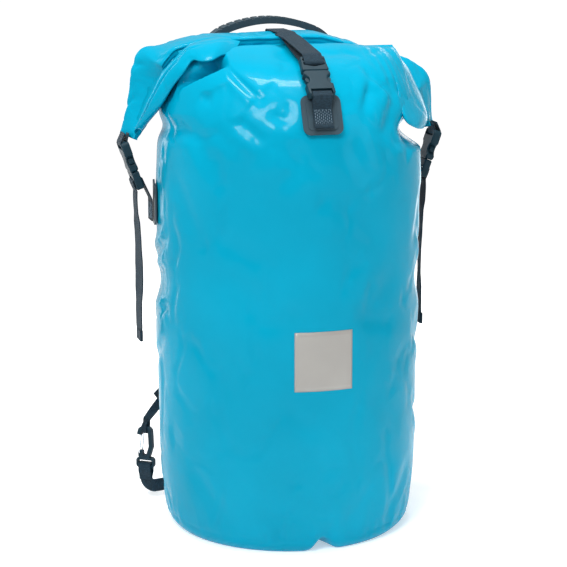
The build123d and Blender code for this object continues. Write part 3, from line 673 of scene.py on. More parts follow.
def press_depth(bearing, x, y, z):
    """How far the skin is pressed in: slack waves, crumples, creases, the base seam and the gathers."""
    free = calm(bearing, z)
    seam = smoothstep(0.0, 0.02, z)
    broad = wander(x * 9, y * 9, z * 5.5 + 3.1)
    ripple = wander(x * 24, y * 24, z * 15 + 7.7)
    crumple = abs(wander(x * 13 + 2.3, y * 13, z * 9))
    crumple += 0.45 * abs(wander(x * 31, y * 31 + 4.1, z * 21))
    press = 0.0016 + 0.0027 * broad * free * seam + 0.0008 * ripple * free * seam
    press += 0.0110 * max(0.0, 0.22 - crumple) * free * seam
    press += crease_depth(bearing, z) * free
    press += 0.0009 * hill(z - SEAM_Z, 0.0016)
    pucker = wander(bearing * 0.22, z * 12, 1.7)
    gather = smoothstep(0.53, 0.61, z) * smoothstep(0.35, 0.9, abs(math.sin(math.radians(bearing))))
    gather += 0.6 * (1 - smoothstep(0.01, 0.07, z)) * seam
    return press + 0.004 * gather * pucker * free


def skin_point(bearing, level):
    """The skin at a bearing from the front and a level: 0 to 1 up the tube, 1 to 2 up the dome."""
    x, y, z, out = stuffed_shape(bearing, level)
    kink = math.exp(-(((bearing - KINK_BEARING) / KINK_SPREAD) ** 2) - z / KINK_REACH)
    press = press_depth(bearing, x, y, z) + KINK_DEPTH * kink
    return Vector((x, y, z + KINK_LIFT * kink)) - out * max(press, -0.0008)


def signed(bearing):
    """The same bearing between -180 and 180."""
    return bearing - 360 if bearing > 180 else bearing


COLUMNS = 320
TUBE_ROWS = 120
DOME_ROWS = 90
BASE_RINGS = (0.2, 0.45, 0.7, 0.88, 0.97)  # shares of the base's radius
BASE_LIFT = 0.0006  # the base's middle clears the ground by this much


def bag_skin():
    """The whole fabric shell: base, tube, dome, and the neck that goes up under the roll."""
    bearings = [360 * column / COLUMNS for column in range(COLUMNS)]
    levels = [k / TUBE_ROWS for k in range(TUBE_ROWS + 1)]
    levels = [level * 0.5 + 0.5 * level**1.5 for level in levels]
    levels += [1 + (k / DOME_ROWS) ** 1.3 for k in range(1, DOME_ROWS + 1)]
    vertices = []
    base_edge = [skin_point(signed(bearing), 0) for bearing in bearings]
    for ring in BASE_RINGS:
        for edge in base_edge:
            # The rings rise only near the edge, where the kink lifts it.
            vertices.append(Vector((edge.x * ring, edge.y * ring, BASE_LIFT * (1 - ring) + edge.z * ring**9)))
    for level in levels:
        vertices += [skin_point(signed(bearing), level) for bearing in bearings]
    # The neck narrows to a slit and goes in under the roll.
    for lift, pinch in ((0.0, 0.5), (0.001, 0.3)):
        for bearing in bearings:
            x = BODY_R * (1 - MOUTH_NARROWING) * math.sin(math.radians(bearing))
            y = 0.004 - 0.006 * math.cos(math.radians(bearing)) * pinch
            vertices.append(Vector((x, y, NECK_Z + lift)))
    rows = len(vertices) // COLUMNS
    faces = grid_faces(rows, COLUMNS, True)
    centre = len(vertices)
    vertices.append(Vector((0, 0, BASE_LIFT)))
    faces += [(centre, (column + 1) % COLUMNS, column) for column in range(COLUMNS)]
    last = (rows - 1) * COLUMNS
    for k in range(COLUMNS // 2):
        # Across the slit, where the first and the last face are triangles.
        quad = (last + k, last + k + 1, last + COLUMNS - k - 1, last + (COLUMNS - k) % COLUMNS)
        faces.append(tuple(dict.fromkeys(quad)))
    made = new_mesh("bag_fabric", vertices, faces, "coated")
    belongs(made, "coated_fabric", "bag_body", "bag_base", body="bag")


# -------- the rolled closure

# The roll's centreline from the middle outward, as (distance from the middle, height).
ROLL_LINE = {
    "left": [(0, ROLL_Z), (0.100, 0.6265), (0.140, 0.618), (0.170, 0.6065), (0.181, 0.565), (0.203, 0.511)],
    "right": [(0, ROLL_Z), (0.045, 0.628), (0.090, 0.616), (0.160, 0.5815), (0.190, 0.565), (0.204, 0.511)],
}
ROLL_CORNER = 0.005
ROLL_SPACING = 0.0022
ROLL_ROUND = 96
ROLL_TWIST = math.radians(40)  # the hanging ends turn their wide faces towards the front
MITRE_REACH = 4  # steps each way over which a bend's angle is measured


def roll_half(side, name):
    """Half of the roll's centreline as (point, share of its length)."""
    corners = [Vector((side * x, ROLL_Y, z)) for x, z in ROLL_LINE[name]]
    path = [point for point, _ in refined(rounded(corners, ALONG_Y, ROLL_CORNER, 6), ROLL_SPACING)]
    runs = [0.0]
    for start, end in zip(path, path[1:]):
        runs.append(runs[-1] + (end - start).length)
    return [(point, run / runs[-1]) for point, run in zip(path, runs)]


def roll_frames():
    """Down the roll from the left tip to the right: centre, width and face directions, share of a half."""
    path = list(reversed(roll_half(-1, "left"))) + roll_half(1, "right")[1:]
    last = len(path) - 1
    frames = []
    for k, (point, share) in enumerate(path):
        heading = (path[min(k + 2, last)][0] - path[max(k - 2, 0)][0]).normalized()
        face = heading.cross(ALONG_Y)
        turn = ROLL_TWIST * smoothstep(0.52, 0.72, share) * (1 - 0.45 * smoothstep(0.85, 1.0, share))
        mitre = 1.0
        if MITRE_REACH <= k <= last - MITRE_REACH:
            arriving = (point - path[k - MITRE_REACH][0]).normalized()
            leaving = (path[k + MITRE_REACH][0] - point).normalized()
            mitre = 1 / math.sqrt(max(0.5, (1 + arriving.dot(leaving)) / 2))
        twisted = ALONG_Y * math.cos(turn) + face * math.sin(turn)
        frames.append((point, twisted, (face * math.cos(turn) - ALONG_Y * math.sin(turn)) * mitre, share))
    return frames


def roll_section(k):
    """A point round the roll's outline, from -0.5 to 0.5 each way, with the fabric's layers as grooves."""
    angle = 2 * math.pi * k / ROLL_ROUND
    y = swell(math.cos(angle), 0.3) / 2
    z = swell(math.sin(angle), 0.42) / 2
    if y < -0.3:
        y += 0.035 * (hill(z + 0.2, 0.06) + hill(z - 0.14, 0.06))
    step = smoothstep(-0.16, -0.12, y) if z > 0.2 else 1.0
    return y, z * (0.9 + 0.1 * step)


def rolled_fabric():
    """The neck's flat turns, bent down at both ends, with crushing creases inside the bends."""
    frames = roll_frames()
    vertices = []
    for point, across, face, share in frames:
        tip = smoothstep(0.62, 1.0, share)
        bend = smoothstep(0.45, 0.62, share) * (1 - smoothstep(0.86, 1.0, share))
        width = ROLL_WIDTH * (1 - 0.46 * tip)
        thick = ROLL_THICK * (1.0 - 0.1 * bend - 0.4 * tip)
        shift = across * (-0.006 if point.x < 0 else 0.003) * smoothstep(0.4, 0.7, share)
        for k in range(ROLL_ROUND):
            y, z = roll_section(k)
            surface = point + shift + across * y * width + face * z * thick
            fold = abs(wander(surface.x * 15, surface.y * 22, surface.z * 15 + 2))
            fine = abs(wander(surface.x * 37, surface.y * 45 + 5, surface.z * 37))
            soft = wander(surface.x * 11, surface.y * 18 + 5, surface.z * 11)
            crush = math.sin(share * 71 + 16 * y + 3 * soft) * bend * smoothstep(0.1, 0.4, -z)
            push = 0.0011 * soft + 0.0008 * crush
            push -= 0.013 * max(0.0, 0.12 - fold) + 0.006 * max(0.0, 0.1 - fine)
            direction = (across * y + face * z * 2.5).normalized()
            vertices.append(surface + direction * push)
    faces = grid_faces(len(frames), ROLL_ROUND, True)
    # Both tips are dished in, so that the turns' edges show.
    for end, order in ((0, -1), (len(frames) - 1, 1)):
        first = end * ROLL_ROUND
        rim = vertices[first : first + ROLL_ROUND]
        middle = sum(rim, Vector()) / ROLL_ROUND
        outward = (frames[end][0] - frames[end - order][0]).normalized()
        inner = len(vertices)
        vertices += [middle.lerp(corner, 0.55) - outward * 0.002 for corner in rim]
        centre = len(vertices)
        vertices.append(middle - outward * 0.004)
        for k in range(ROLL_ROUND):
            beside = (k + 1) % ROLL_ROUND
            faces.append((first + k, first + beside, inner + beside, inner + k)[::order])
            faces.append((inner + k, inner + beside, centre)[::order])
    made = new_mesh("rolled_fabric", vertices, faces, "coated")
    belongs(made, "coated_fabric", "rolled_closure", body="bag")


def stiffener(node, lift):
    """A flexible strip inside the roll, bent the same way as the roll."""
    frames = [entry for entry in roll_frames() if abs(entry[0].x) < STIFFENER_HALF]
    vertices = []
    for point, across, face, _ in frames:
        for y, z in ((-1, -1), (1, -1), (1, 1), (-1, 1)):
            height = lift + z * STIFFENER_THICK / 2
            vertices.append(point + across * y * STIFFENER_WIDTH / 2 + face * height)
    made = new_mesh(f"{node}_strip", vertices, tube_faces(len(frames), 4), "stiffener")
    belongs(made, "stiffener", node, body="bag")


# -------- the neck's folded ears

# Down each ear from the crest to the roll's tip: the line where it leaves the roll, and its free folded
# edge, as (distance from the middle, y, z).
EAR_LINES = {
    "left": [
        ((0.062, -0.002, 0.63), (0.08, -0.034, 0.6165)),
        ((0.08, -0.002, 0.6345), (0.0965, -0.0475, 0.618)),
        ((0.098, -0.002, 0.6345), (0.1135, -0.0605, 0.613)),
        ((0.117, -0.004, 0.631), (0.1255, -0.0565, 0.612)),
        ((0.133, -0.005, 0.6245), (0.1345, -0.046, 0.6125)),
        ((0.148, -0.005, 0.611), (0.145, -0.047, 0.5995)),
        ((0.164, -0.005, 0.594), (0.158, -0.038, 0.5805)),
        ((0.178, -0.001, 0.565), (0.1695, -0.029, 0.56)),
        ((0.187, 0.004, 0.542), (0.18, -0.018, 0.5455)),
        ((0.197, 0.012, 0.518), (0.1945, 0.002, 0.524)),
    ],
    "right": [
        ((0.096, 0.002, 0.615), (0.102, -0.03, 0.61)),
        ((0.116, 0.002, 0.6175), (0.113, -0.056, 0.601)),
        ((0.135, -0.007, 0.614), (0.117, -0.078, 0.589)),
        ((0.149, -0.009, 0.602), (0.119, -0.089, 0.573)),
        ((0.159, -0.01, 0.59), (0.12, -0.0975, 0.556)),
        ((0.171, -0.01, 0.567), (0.124, -0.1075, 0.536)),
        ((0.18, -0.007, 0.549), (0.145, -0.09, 0.524)),
        ((0.186, -0.001, 0.532), (0.166, -0.052, 0.519)),
        ((0.19, 0.012, 0.518), (0.183, -0.006, 0.518)),
    ],
}
# The bulge, the pleat's depth, the crumpling's depth, and a number that makes each ear crumple its own way.
EAR_FOLDS = {"left": (0.0075, -0.0034, 0.009, 3.0), "right": (0.0045, -0.0006, 0.003, 11.0)}
EAR_STEPS = 90
EAR_ACROSS = 30


def neck_ear(side, name):
    """The neck's spare width: a doubled flap that tents out from the dome, down to the roll's tip."""
    lines = EAR_LINES[name]
    tops = [Vector((side * top[0], *top[1:])) for top, _ in lines]
    edges = [Vector((side * edge[0], *edge[1:])) for _, edge in lines]
    bulge, pleat_depth, crumple, own = EAR_FOLDS[name]
    roll = roll_half(side, name)
    vertices = []
    for k in range(EAR_STEPS + 1):
        share = k / EAR_STEPS
        high = along_points(tops, share)
        low = along_points(edges, share)
        out = Vector((side * (0.25 + 0.9 * share), -1.0 + 0.4 * share, 0.75 - 0.5 * share)).normalized()
        open_share = smoothstep(0.0, 0.2, share) * (1 - 0.6 * smoothstep(0.8, 1.0, share))
        under_roll = roll[int((0.3 + 0.68 * share) * (len(roll) - 1))][0]
        under_roll = under_roll + Vector((-side * 0.002, -0.012, -0.002))
        lip = high + Vector((-side * 0.007, 0.010, -0.006)) * open_share
        row = [under_roll, under_roll.lerp(lip, 0.6), lip, high.lerp(lip, 0.12)]
        for step in range(EAR_ACROSS):
            t = step / (EAR_ACROSS - 1)
            middle = high.lerp(low, 0.5) + out * (bulge * open_share) * 2
            place = high * (1 - t) ** 2 + middle * 2 * t * (1 - t) + low * t * t
            pleat = hill(t - 0.30 - 0.22 * share, 0.05)
            pleat *= smoothstep(0.25, 0.45, share) * (1 - smoothstep(0.88, 1.0, share))
            crease = abs(wander(place.x * 20, place.y * 20, place.z * 20 + own))
            push = pleat_depth * pleat - crumple * max(0.0, 0.1 - crease)
            row.append(place + out * push)
        inner = low.lerp(high, 0.45) - out * (0.003 + 0.009 * open_share)
        row.append(low.lerp(inner, 0.06) - out * 0.0016)
        for t in (0.3, 0.65, 1.0):
            row.append(low.lerp(inner, t) - out * 0.0022)
        vertices += row
    faces = grid_faces(EAR_STEPS + 1, len(row), False)
    if side > 0:
        faces = [tuple(reversed(face)) for face in faces]
    made = new_mesh(f"neck_ear_{name}", vertices, faces, "coated")
    thick = made.modifiers.new("cloth", "SOLIDIFY")
    thick.thickness = 0.0009
    thick.offset = 0
    belongs(made, "coated_fabric", f"neck_fold_{name}", body="bag")


# -------- label and back seam

SHEET_LIFT = 0.0002
SHEET_COLUMNS = 24


def skin_sheet(name, bearing, low, high, width, thick, look, slot, replaced):
    """A thin sheet that follows the skin, with a closed rim."""
    up = max(8, int((high - low) / 0.006))
    vertices = []
    for layer in (SHEET_LIFT, SHEET_LIFT + thick):
        for row in range(up + 1):
            z = low + (high - low) * row / up
            for column in range(SHEET_COLUMNS + 1):
                turn = bearing + math.degrees((column / SHEET_COLUMNS - 0.5) * width / BODY_R)
                out = Vector((math.sin(math.radians(turn)), -math.cos(math.radians(turn)), 0))
                vertices.append(skin_point(signed(turn), z / SHOULDER_Z) + out * layer)
    count = SHEET_COLUMNS + 1
    size = count * (up + 1)
    faces = [tuple(reversed(face)) for face in grid_faces(up + 1, count, False)]
    faces += [tuple(v + size for v in reversed(face)) for face in faces]
    rim = list(range(count))
    rim += [count * row + SHEET_COLUMNS for row in range(1, up + 1)]
    rim += [count * up + column for column in range(SHEET_COLUMNS - 1, -1, -1)]
    rim += [count * row for row in range(up - 1, 0, -1)]
    faces += [(a, b, b + size, a + size) for a, b in zip(rim, rim[1:] + rim[:1])]
    belongs(new_mesh(name, vertices, faces, look), slot, replaced, body="bag")


# -------- carried-over CAD pieces

# The first word that a node's name holds decides its material.
CAD_LOOKS = {
    "patch": "rubber",
    "buckle": "hardware",
    "clip_body": "hardware",
    "strap_adjuster": "hardware",
    "clip_gate": "wire",
    "handle_grip": "grip",
}


def dress_cad_pieces():
    """Gives each shown CAD node its material."""
    for node, piece in nodes.items():
        for word, look in CAD_LOOKS.items():
            if word in node:
                piece.data.materials.clear()
                piece.data.materials.append(material[look])
                break


# -------- webbing

front_patch = skin_place(0, PATCH_Z, -1, PATCH_FOOT)
back_patch = skin_place(0, PATCH_Z, 1, PATCH_FOOT)
front_skin = skin_place(0, FRONT_BUCKLE_Z, -1)
front_buckle = Place(front_skin.at(*FRONT_BUCKLE_AT), ALONG_X, front_skin.z)


def front_anchor():
    """Doubled webbing from the front patch round the housing's bar, ending in a thick fold."""
    patch = front_patch
    points = patch.line((-0.016, LAYER_HIGH), (0.008, LAYER_HIGH))
    points += front_buckle.line((-0.0012, HOUSING_WEB), (HOUSING_SLOT, HOUSING_WEB))
    points += front_buckle.line((HOUSING_SLOT, -HOUSING_WEB), (0.001, -HOUSING_WEB))
    points += patch.line((0.010, LAYER_LOW), (-0.016, LAYER_LOW))
    web = strap("front_anchor_web", points, ALONG_X, WEB, 0.0016)
    fold = patch.line((-0.0185, LAYER_HIGH + 0.0003), (-0.0125, LAYER_HIGH + 0.0006))
    hem = strap("front_anchor_hem", fold, ALONG_X, WEB * 1.01, thick=0.0026)
    whole = joined("front_anchor_web", [web, hem])
    belongs(whole, "webbing", "front_anchor_webbing", body="bag")
    centre = patch.at(0, -0.0045, LAYER_HIGH + WEB_THICK / 2)
    lines = stitch_block(centre, patch.x, patch.y, patch.z, 0.0195, 0.0185, 9)
    stitches("front_anchor_stitching", lines, patch.z)


def top_strap():
    """The strap from the back patch over the roll to the tongue's bar, with its end lying back over it."""
    top = ROLL_Z + ROLL_THICK / 2 + 0.0012
    front = ROLL_Y - ROLL_WIDTH / 2
    back = ROLL_Y + ROLL_WIDTH / 2
    low = LAYER_LOW + 0.0003
    points = [Vector((-0.012, front - 0.020, top + 0.0016)), Vector((-0.003, front - 0.034, top - 0.0026))]
    points += front_buckle.line((0.066, TONGUE_WEB), (TONGUE_SLOT, TONGUE_WEB))
    points += front_buckle.line((TONGUE_SLOT, -TONGUE_WEB), (0.063, -TONGUE_WEB))
    over_roll = [(front + 0.003, top), (back - 0.003, top), (back + 0.004, top - 0.009)]
    points += [Vector((0, y, z)) for y, z in over_roll + [(back + 0.009, 0.617), (0.112, 0.603)]]
    points += back_patch.line((0.029, 0.0036), (0.021, low), (-0.017, low))
    web = strap("top_strap_web", points, ALONG_X, WEB, 0.003)
    belongs(web, "webbing", "top_strap")
    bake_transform(web)
    centre = back_patch.at(0, -0.004, low + WEB_THICK / 2)
    lines = box_x(centre, back_patch.x, back_patch.y, back_patch.z, 0.019, 0.019)
    stitches("back_patch_stitching", lines, back_patch.z)


def side_buckle(side):
    """The side buckle's place: Y runs from its bar down to the tongue, Z out of its face."""
    along = Vector((-side * math.sin(SIDE_LEAN), 0, -math.cos(SIDE_LEAN)))
    across = Vector((0, -side, 0))
    return Place((side * SIDE_BAR_END[0], *SIDE_BAR_END[1:]), across, across.cross(along))


def roll_end_loop(side, name):
    """Webbing from the roll's tip round the housing's bar."""
    tips = [Vector((side * (ROLL_TIP_X + out), SIDE_Y, ROLL_TIP_Z + 0.004)) for out in (-0.0006, 0.0044)]
    points = side_buckle(side).line((0.0002, -0.0044), (HOUSING_SLOT, -HOUSING_WEB))
    points += side_buckle(side).line((HOUSING_SLOT, HOUSING_WEB), (0.0002, 0.0046))
    points = [tips[0], *points, tips[1]]
    web = strap(f"roll_end_web_{name}", points, ALONG_Y, WEB, 0.0018)
    belongs(web, "webbing", f"roll_end_loop_{name}", body="bag")


def side_anchor(side, name):
    """Webbing from the side patch up round the tongue's first bar."""
    buckle = side_buckle(side)
    points = [Vector((side * SIDE_FACE, SIDE_Y, z)) for z in (0.402, 0.430)]
    points += buckle.line((0.058, -0.0066), (TONGUE_SLOT, -TONGUE_WEB))
    points += buckle.line((TONGUE_SLOT, TONGUE_WEB), (0.058, 0.0064), (0.0665, 0.0056))
    web = strap(f"side_anchor_web_{name}", points, ALONG_Y, WEB, 0.0022)
    belongs(web, "webbing", f"side_anchor_webbing_{name}")
    buckle.at(0, 0.058, 0)
    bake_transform(web)
    out = Vector((side, 0, 0))
    centre = Vector((side * (SIDE_FACE + WEB_THICK / 2), SIDE_Y, 0.415))
    lines = box_x(centre, ALONG_Y, UP, out, 0.019, 0.019)
    stitches(f"side_anchor_stitching_{name}", lines, out)


# Down the hanging tail: outward from its line, towards the back, height, and how far it leans outward.
TAIL_POINTS = [
    (0.0034, 0, 0.428, 0),
    (0.0004, -0.001, 0.384, 0.12),
    (-0.0006, -0.001, 0.330, 0.2),
    (0.0006, 0.001, 0.280, 0.1),
    (0, 0, TAIL_END_Z + 0.001, 0),
]
HEM_LENGTH = 0.014
HEM_THICK = 0.0036


def side_tail(side, name):
    """The strap's loose end, hanging from the tongue, with a folded hem."""
    buckle = side_buckle(side)
    points = [buckle.at(0, 0.0655, 0.0055)]
    lean = [ALONG_Y]
    for out, back, z, tilt in TAIL_POINTS:
        points.append(Vector((side * (TAIL_X + out), SIDE_Y + back, z)))
        lean.append(Vector((side * tilt, 1, 0)))
    web = strap(f"side_tail_web_{name}", points, lean, WEB, 0.016)
    fold = [Vector((side * TAIL_X, SIDE_Y, TAIL_END_Z + lift)) for lift in (HEM_LENGTH, 0)]
    hem = strap(f"side_tail_hem_{name}", fold, ALONG_Y, WEB, thick=HEM_THICK)
    whole = joined(f"side_tail_web_{name}", [web, hem])
    belongs(whole, "webbing", f"side_strap_tail_{name}")
    start = buckle.at(0, 0.067, 0.005)
    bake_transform(whole)


def side_straps(side, name):
    """All the webbing at one side."""
    roll_end_loop(side, name)
    side_anchor(side, name)
    side_tail(side, name)


def handle_tab(side, name):
    """Webbing from the handle patch up to the grip's end."""
    patch = skin_place(side * HANDLE_PATCH[0], HANDLE_PATCH[1], 1, PATCH_FOOT)
    end = Vector((side * HANDLE_TAB_END[0], *HANDLE_TAB_END[1:]))
    points = patch.line((-0.011, LAYER_LOW), (-0.003, LAYER_LOW), (0.006, LAYER_LOW + 0.0016))
    points += [end - UP * 0.003, end]
    lean = [patch.x, patch.x, patch.x, -ALONG_X, -ALONG_X]
    web = strap(f"handle_tab_web_{name}", points, lean, NARROW_WEB, 0.003, widths=(1.0, 0.5))
    belongs(web, "webbing", f"handle_tab_{name}")
    patch.at(0, 0.004, 0.003)
    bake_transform(web)
    centre = patch.at(0, -0.0065, LAYER_LOW + WEB_THICK / 2)
    stitches(f"handle_stitching_{name}", box_x(centre, patch.x, patch.y, patch.z, 0.015, 0.006), patch.z)


# -------- shoulder straps

def radial(from_back, radius, z, side):
    """A point at a bearing from +Y towards the side, at a distance from the bag's axis."""
    angle = math.radians(from_back)
    return Vector((side * radius * math.sin(angle), radius * math.cos(angle), z))


def clip_point(side, out, up, back):
    """A point given outward, upward and towards the bag's back from a clip's origin."""
    outward = radial(90 - CLIP_BEARING, 1, 0, side)
    backward = outward.cross(UP) * -side
    return radial(90 - CLIP_BEARING, CLIP_R, CLIP_Z, side) + outward * out + UP * up + backward * back


# Down the pad: bearing from +Y, distance from the axis, height, width and thickness.
PAD_STATIONS = [
    (ROOT_BEARING, 0.180, 0.462, 0.046, 0.008),
    (18, 0.187, 0.440, 0.056, 0.010),
    (19.5, 0.203, 0.392, 0.062, 0.011),
    (22, 0.216, 0.335, 0.062, 0.011),
    (26, 0.217, 0.278, 0.060, 0.011),
    (30.5, 0.208, 0.225, 0.054, 0.011),
    (34, 0.196, 0.188, 0.042, 0.009),
    (35.5, 0.191, 0.172, 0.030, 0.007),
]
PAD_STEPS = 80
PAD_ROUND = 40
PAD_CHANNEL = 0.74  # the sewn channels lie at this share of the half width
PIPING_ROUND = 10
PIPING_SIZE = (0.0018, 0.0042)  # half of the bound edge's section, across the pad and out of it


def pad_frame(side, share):
    """The pad's middle, directions across and out, width and thickness, at a share of its length."""
    centres = [radial(b, r, z, side) for b, r, z, _, _ in PAD_STATIONS]
    sizes = [Vector((w, t, math.radians(b))) for b, _, _, w, t in PAD_STATIONS]
    centre = along_points(centres, share)
    size = along_points(sizes, share)
    ahead = along_points(centres, min(1.0, share + 0.01))
    behind = along_points(centres, max(0.0, share - 0.01))
    along = (ahead - behind).normalized()
    out = Vector((side * math.sin(size.z), math.cos(size.z), 0))
    across = along.cross(out).normalized()
    return centre, across, across.cross(along).normalized(), size.x, size.y


def pad_bends(piece):
    """Bakes a piece of the pad's placement into its mesh."""
    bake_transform(piece)


def pad_cushion(side, name):
    """The foam-filled strap: crowned faces, with a sewn channel down each side."""
    vertices = []
    uvs = []
    run = 0.0
    last = pad_frame(side, 0)[0]
    for k in range(PAD_STEPS + 1):
        centre, across, out, width, thick = pad_frame(side, k / PAD_STEPS)
        run += (centre - last).length
        last = centre
        ripple = wander(run * 30, side * 3.0, 0.5)
        for step in range(PAD_ROUND):
            angle = 2 * math.pi * step / PAD_ROUND
            x = swell(math.cos(angle), 0.5) * width / 2
            y = swell(math.sin(angle), 0.8) * thick / 2
            y *= 1 - 0.42 * hill(abs(x) / (width / 2) - PAD_CHANNEL, 0.06) + 0.05 * ripple
            vertices.append(centre + across * x + out * y)
            uvs.append((x + 0.5, run))
    faces = tube_faces(PAD_STEPS + 1, PAD_ROUND)
    pad = new_mesh(f"shoulder_pad_cloth_{name}", vertices, faces, "pad", uvs)
    belongs(pad, "pad_fabric", f"shoulder_pad_{name}")
    pad_bends(pad)


def pad_piping(side, name, edge, label):
    """The binding tape round one long edge of the pad."""
    vertices = []
    uvs = []
    for k in range(PAD_STEPS + 1):
        centre, across, out, width, _ = pad_frame(side, k / PAD_STEPS)
        point = centre + across * edge * (width / 2 - 0.0006)
        for step in range(PIPING_ROUND):
            angle = 2 * math.pi * step / PIPING_ROUND
            swing = across * math.cos(angle) * PIPING_SIZE[0] + out * math.sin(angle) * PIPING_SIZE[1]
            vertices.append(point + swing)
            uvs.append((step * 0.0008, k * 0.0035))
    faces = tube_faces(PAD_STEPS + 1, PIPING_ROUND)
    piping = new_mesh(f"pad_binding_{label}_{name}", vertices, faces, "binding", uvs)
    belongs(piping, "webbing")
    pad_bends(piping)


def pad_spine(side, name):
    """The webbing sewn down the middle of the pad's outer face."""
    points = []
    lean = []
    for k in range(13):
        centre, across, out, _, thick = pad_frame(side, 0.02 + 0.94 * k / 12)
        points.append(centre + out * (thick / 2 + 0.0011))
        lean.append(across)
    web = strap(f"pad_spine_web_{name}", points, lean, CLIP_WEB, 0.01)
    belongs(web, "webbing")
    pad_bends(web)


def shoulder_pad(side, name):
    """One padded strap with its two bound edges and its spine."""
    pad_cushion(side, name)
    pad_piping(side, name, -1, "inner")
    pad_piping(side, name, 1, "outer")
    pad_spine(side, name)


def strap_root(side, name):
    """The strap's doubled, bar-tacked top, sewn down on the yoke patch."""
    stations = [(0.1765, 0.4785), (0.1765, 0.470), (0.1815, 0.459)]
    points = [radial(ROOT_BEARING, radius, z, side) for radius, z in stations]
    lean = radial(ROOT_BEARING + 90, 1, 0, side)
    web = strap(f"strap_root_web_{name}", points, lean, 0.040, 0.004, thick=0.0034)
    belongs(web, "webbing", f"shoulder_strap_root_{name}", body="bag")
    out = radial(ROOT_BEARING, 1, 0, side)
    centre = radial(ROOT_BEARING, 0.1786, 0.4735, side)
    stitches(f"strap_root_stitching_{name}", box_x(centre, lean, UP, out, 0.034, 0.006), out)


def adjuster_place(side):
    """The ladder-lock: local Y runs down the strap, Z away from the bag."""
    start = radial(36.5, 0.190, 0.163, side)
    along = (clip_point(side, 0, HOOK_TOP + 0.014, HOOK_LOOP) - start).normalized()
    across = along.cross(radial(44, 1, 0, side)).normalized()
    return Place(start + along * ADJUSTER_HALF, across, across.cross(along))


HOOK_SHARES = (0.66, 0.36)  # the webbing narrows to these shares of its width on its way to the hook


def lower_strap(side, name):
    """Tab, adjuster webbing with its free end, and the run down to the hook with its narrow looped tape."""
    place = adjuster_place(side)
    neck = -ADJUSTER_HALF - 0.001
    tab = place.line((neck - 0.006, -0.001), (neck, -LAYER_OUT), (-ADJUSTER_SLOT, -LAYER_OUT))
    tab += place.line((-ADJUSTER_SLOT, LAYER_OUT), (neck, LAYER_OUT), (neck - 0.006, 0.001))
    web = strap(f"adjuster_tab_web_{name}", tab, place.x, CLIP_WEB, 0.0012)
    belongs(web, "webbing", f"adjuster_tab_{name}", body=f"pad_{name}")

    hook_across = radial(90 - CLIP_BEARING, 1, 0, side)
    if hook_across.dot(place.x) < 0:
        hook_across = -hook_across
    split = clip_point(side, 0, HOOK_TOP + 0.012, HOOK_LOOP)
    middle = place.at(0, ADJUSTER_HALF + 0.008, -LAYER_OUT).lerp(split, 0.5)
    half_lean = place.x.lerp(hook_across, 0.5)
    through = [place.at(0.001, 0.036, LAYER_OUT + 0.005)]
    through += place.line((ADJUSTER_HALF + 0.006, LAYER_OUT + 0.0006), (ADJUSTER_SLOT, LAYER_OUT))
    through += place.line((ADJUSTER_SLOT, -LAYER_OUT), (ADJUSTER_HALF + 0.008, -LAYER_OUT))
    through.append(middle)
    lean = [place.x] * 5 + [half_lean]
    web = strap(f"adjuster_web_{name}", through, lean, CLIP_WEB, 0.0012, widths=(1.0, HOOK_SHARES[0]))
    belongs(web, "webbing", f"strap_webbing_{name}")
    place.at(0, ADJUSTER_HALF, 0)
    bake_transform(web)

    tape = [middle, split]
    hook_turns = [(0.003, HOOK_LOOP), (-0.0052, HOOK_LOOP), (-0.0052, -HOOK_LOOP), (0.005, -HOOK_LOOP)]
    for lift, back in hook_turns + [(0.011, HOOK_LOOP - 0.0018)]:
        tape.append(clip_point(side, 0, HOOK_TOP + lift, back))
    lean = [half_lean] + [hook_across] * 6
    web = strap(f"hook_web_{name}", tape, lean, CLIP_WEB, 0.002, widths=HOOK_SHARES)
    belongs(web, "webbing")
    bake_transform(web)


def clip_anchor(side, name):
    """Webbing that leaves its patch round the tube, turns up, and loops through the clip's eye."""
    out = radial(90 - CLIP_BEARING, 1, 0, side)
    points = []
    lean = []
    for from_back, radius in ((36, 0.1712), (44, 0.1716), (49, 0.178)):
        points.append(radial(from_back, radius, ANCHOR_Z, side))
        lean.append(UP)
    for turn in (0, 30, 60, 90):
        sine = math.sin(math.radians(turn))
        cosine = math.cos(math.radians(turn))
        points.append(clip_point(side, TURN_R * (sine - 1), ANCHOR_Z - CLIP_Z + TURN_R * (1 - cosine), 0))
        lean.append(UP * cosine - out * sine)
    foot = ANCHOR_Z - CLIP_Z + TURN_R
    loop = CLIP_BAR + EYE_LOOP
    eye_turns = [(EYE_LOOP, foot + 0.008), (EYE_LOOP, loop), (-EYE_LOOP, loop), (-EYE_LOOP, foot + 0.0095)]
    for back, up in eye_turns + [(-0.0019, foot + 0.002), (-0.0019, foot - 0.003)]:
        points.append(clip_point(side, 0, up, back))
        lean.append(-out)
    web = strap(f"clip_anchor_web_{name}", points, lean, CLIP_WEB, 0.003)
    belongs(web, "webbing", f"clip_anchor_webbing_{name}", body="bag")


# -------- everything put together

bag_skin()
rolled_fabric()
stiffener("closure_stiffener_front", 0.0011)
stiffener("closure_stiffener_back", -0.0011)
for side, name in SIDES:
    neck_ear(side, name)
skin_sheet("front_label", 0, 0.2135, 0.2885, LABEL_SIDE, 0.0004, "label", "label", "reflective_label")
skin_sheet("back_seam", 180, 0.095, 0.415, SEAM_WIDTH, 0.0007, "coated", "coated_fabric", "back_seam_strip")
dress_cad_pieces()
front_anchor()
top_strap()
for build in (side_straps, handle_tab, shoulder_pad, strap_root, lower_strap, clip_anchor):
    for side, name in SIDES:
        build(side, name)

# -------- stage, light and camera

FLOOR_HALF = 40.0


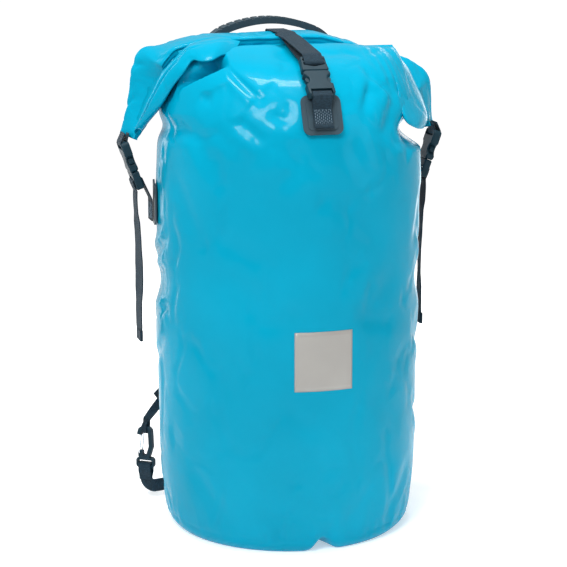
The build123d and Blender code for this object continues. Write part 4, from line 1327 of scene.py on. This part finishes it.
def studio_stage():
    """A wide, pale, softly glowing studio floor."""
    corners = [Vector((x, y, -0.0002)) for y in (-FLOOR_HALF, FLOOR_HALF) for x in (-FLOOR_HALF, FLOOR_HALF)]
    floor = new_mesh("floor", corners, grid_faces(2, 2, False), "floor")


def area_light(name, place, aim, size, power, spread=180):
    """A rectangular soft light that points at a place. spread is the angle of its beam in degrees."""
    light = bpy.data.lights.new(name, "AREA")
    light.shape = "RECTANGLE"
    light.size = size[0]
    light.size_y = size[1]
    light.energy = power
    light.spread = math.radians(spread)
    made = bpy.data.objects.new(name, light)
    made.location = place
    made.rotation_euler = (Vector(aim) - Vector(place)).to_track_quat("-Z", "Y").to_euler()
    bpy.context.scene.collection.objects.link(made)


studio_stage()

bpy.context.scene.view_settings.view_transform = "Standard"
world = bpy.data.worlds.new("studio")
bpy.context.scene.world = world
world.use_nodes = True
background = world.node_tree.nodes["Background"]
background.inputs["Color"].default_value = (1, 1, 1, 1)
background.inputs["Strength"].default_value = 0.42

area_light("key", (-1.35, -1.8, 2.7), (0, 0, 0.62), (1.1, 1.1), 4.8, spread=40)
area_light("fill", (1.9, -1.4, 1.1), (0, 0, 0.3), (0.9, 1.6), 6)
area_light("left_strip", (-0.85, 1.47, 0.6), (0, 0, 0.3), (0.4, 1.6), 9)
area_light("right_strip", (0.95, 1.42, 0.5), (0, 0, 0.25), (0.4, 1.4), 4.5)
area_light("top", (0.0, -0.1, 2.4), (0, 0, 0.5), (0.8, 0.4), 34)

CAMERA_AZIMUTH = math.radians(-15.5)
CAMERA_PITCH = math.radians(12.1)
CAMERA_AWAY = 2.5
CAMERA_HEIGHT = 0.85

camera = bpy.data.cameras.new("camera")
camera.lens = 124.6
camera.sensor_width = 36
camera.shift_x = -0.007
view = bpy.data.objects.new("camera", camera)
view.location = (
    CAMERA_AWAY * math.sin(CAMERA_AZIMUTH),
    -CAMERA_AWAY * math.cos(CAMERA_AZIMUTH),
    CAMERA_HEIGHT,
)
view.rotation_euler = (math.pi / 2 - CAMERA_PITCH, 0, CAMERA_AZIMUTH)
bpy.context.scene.collection.objects.link(view)
bpy.context.scene.camera = view
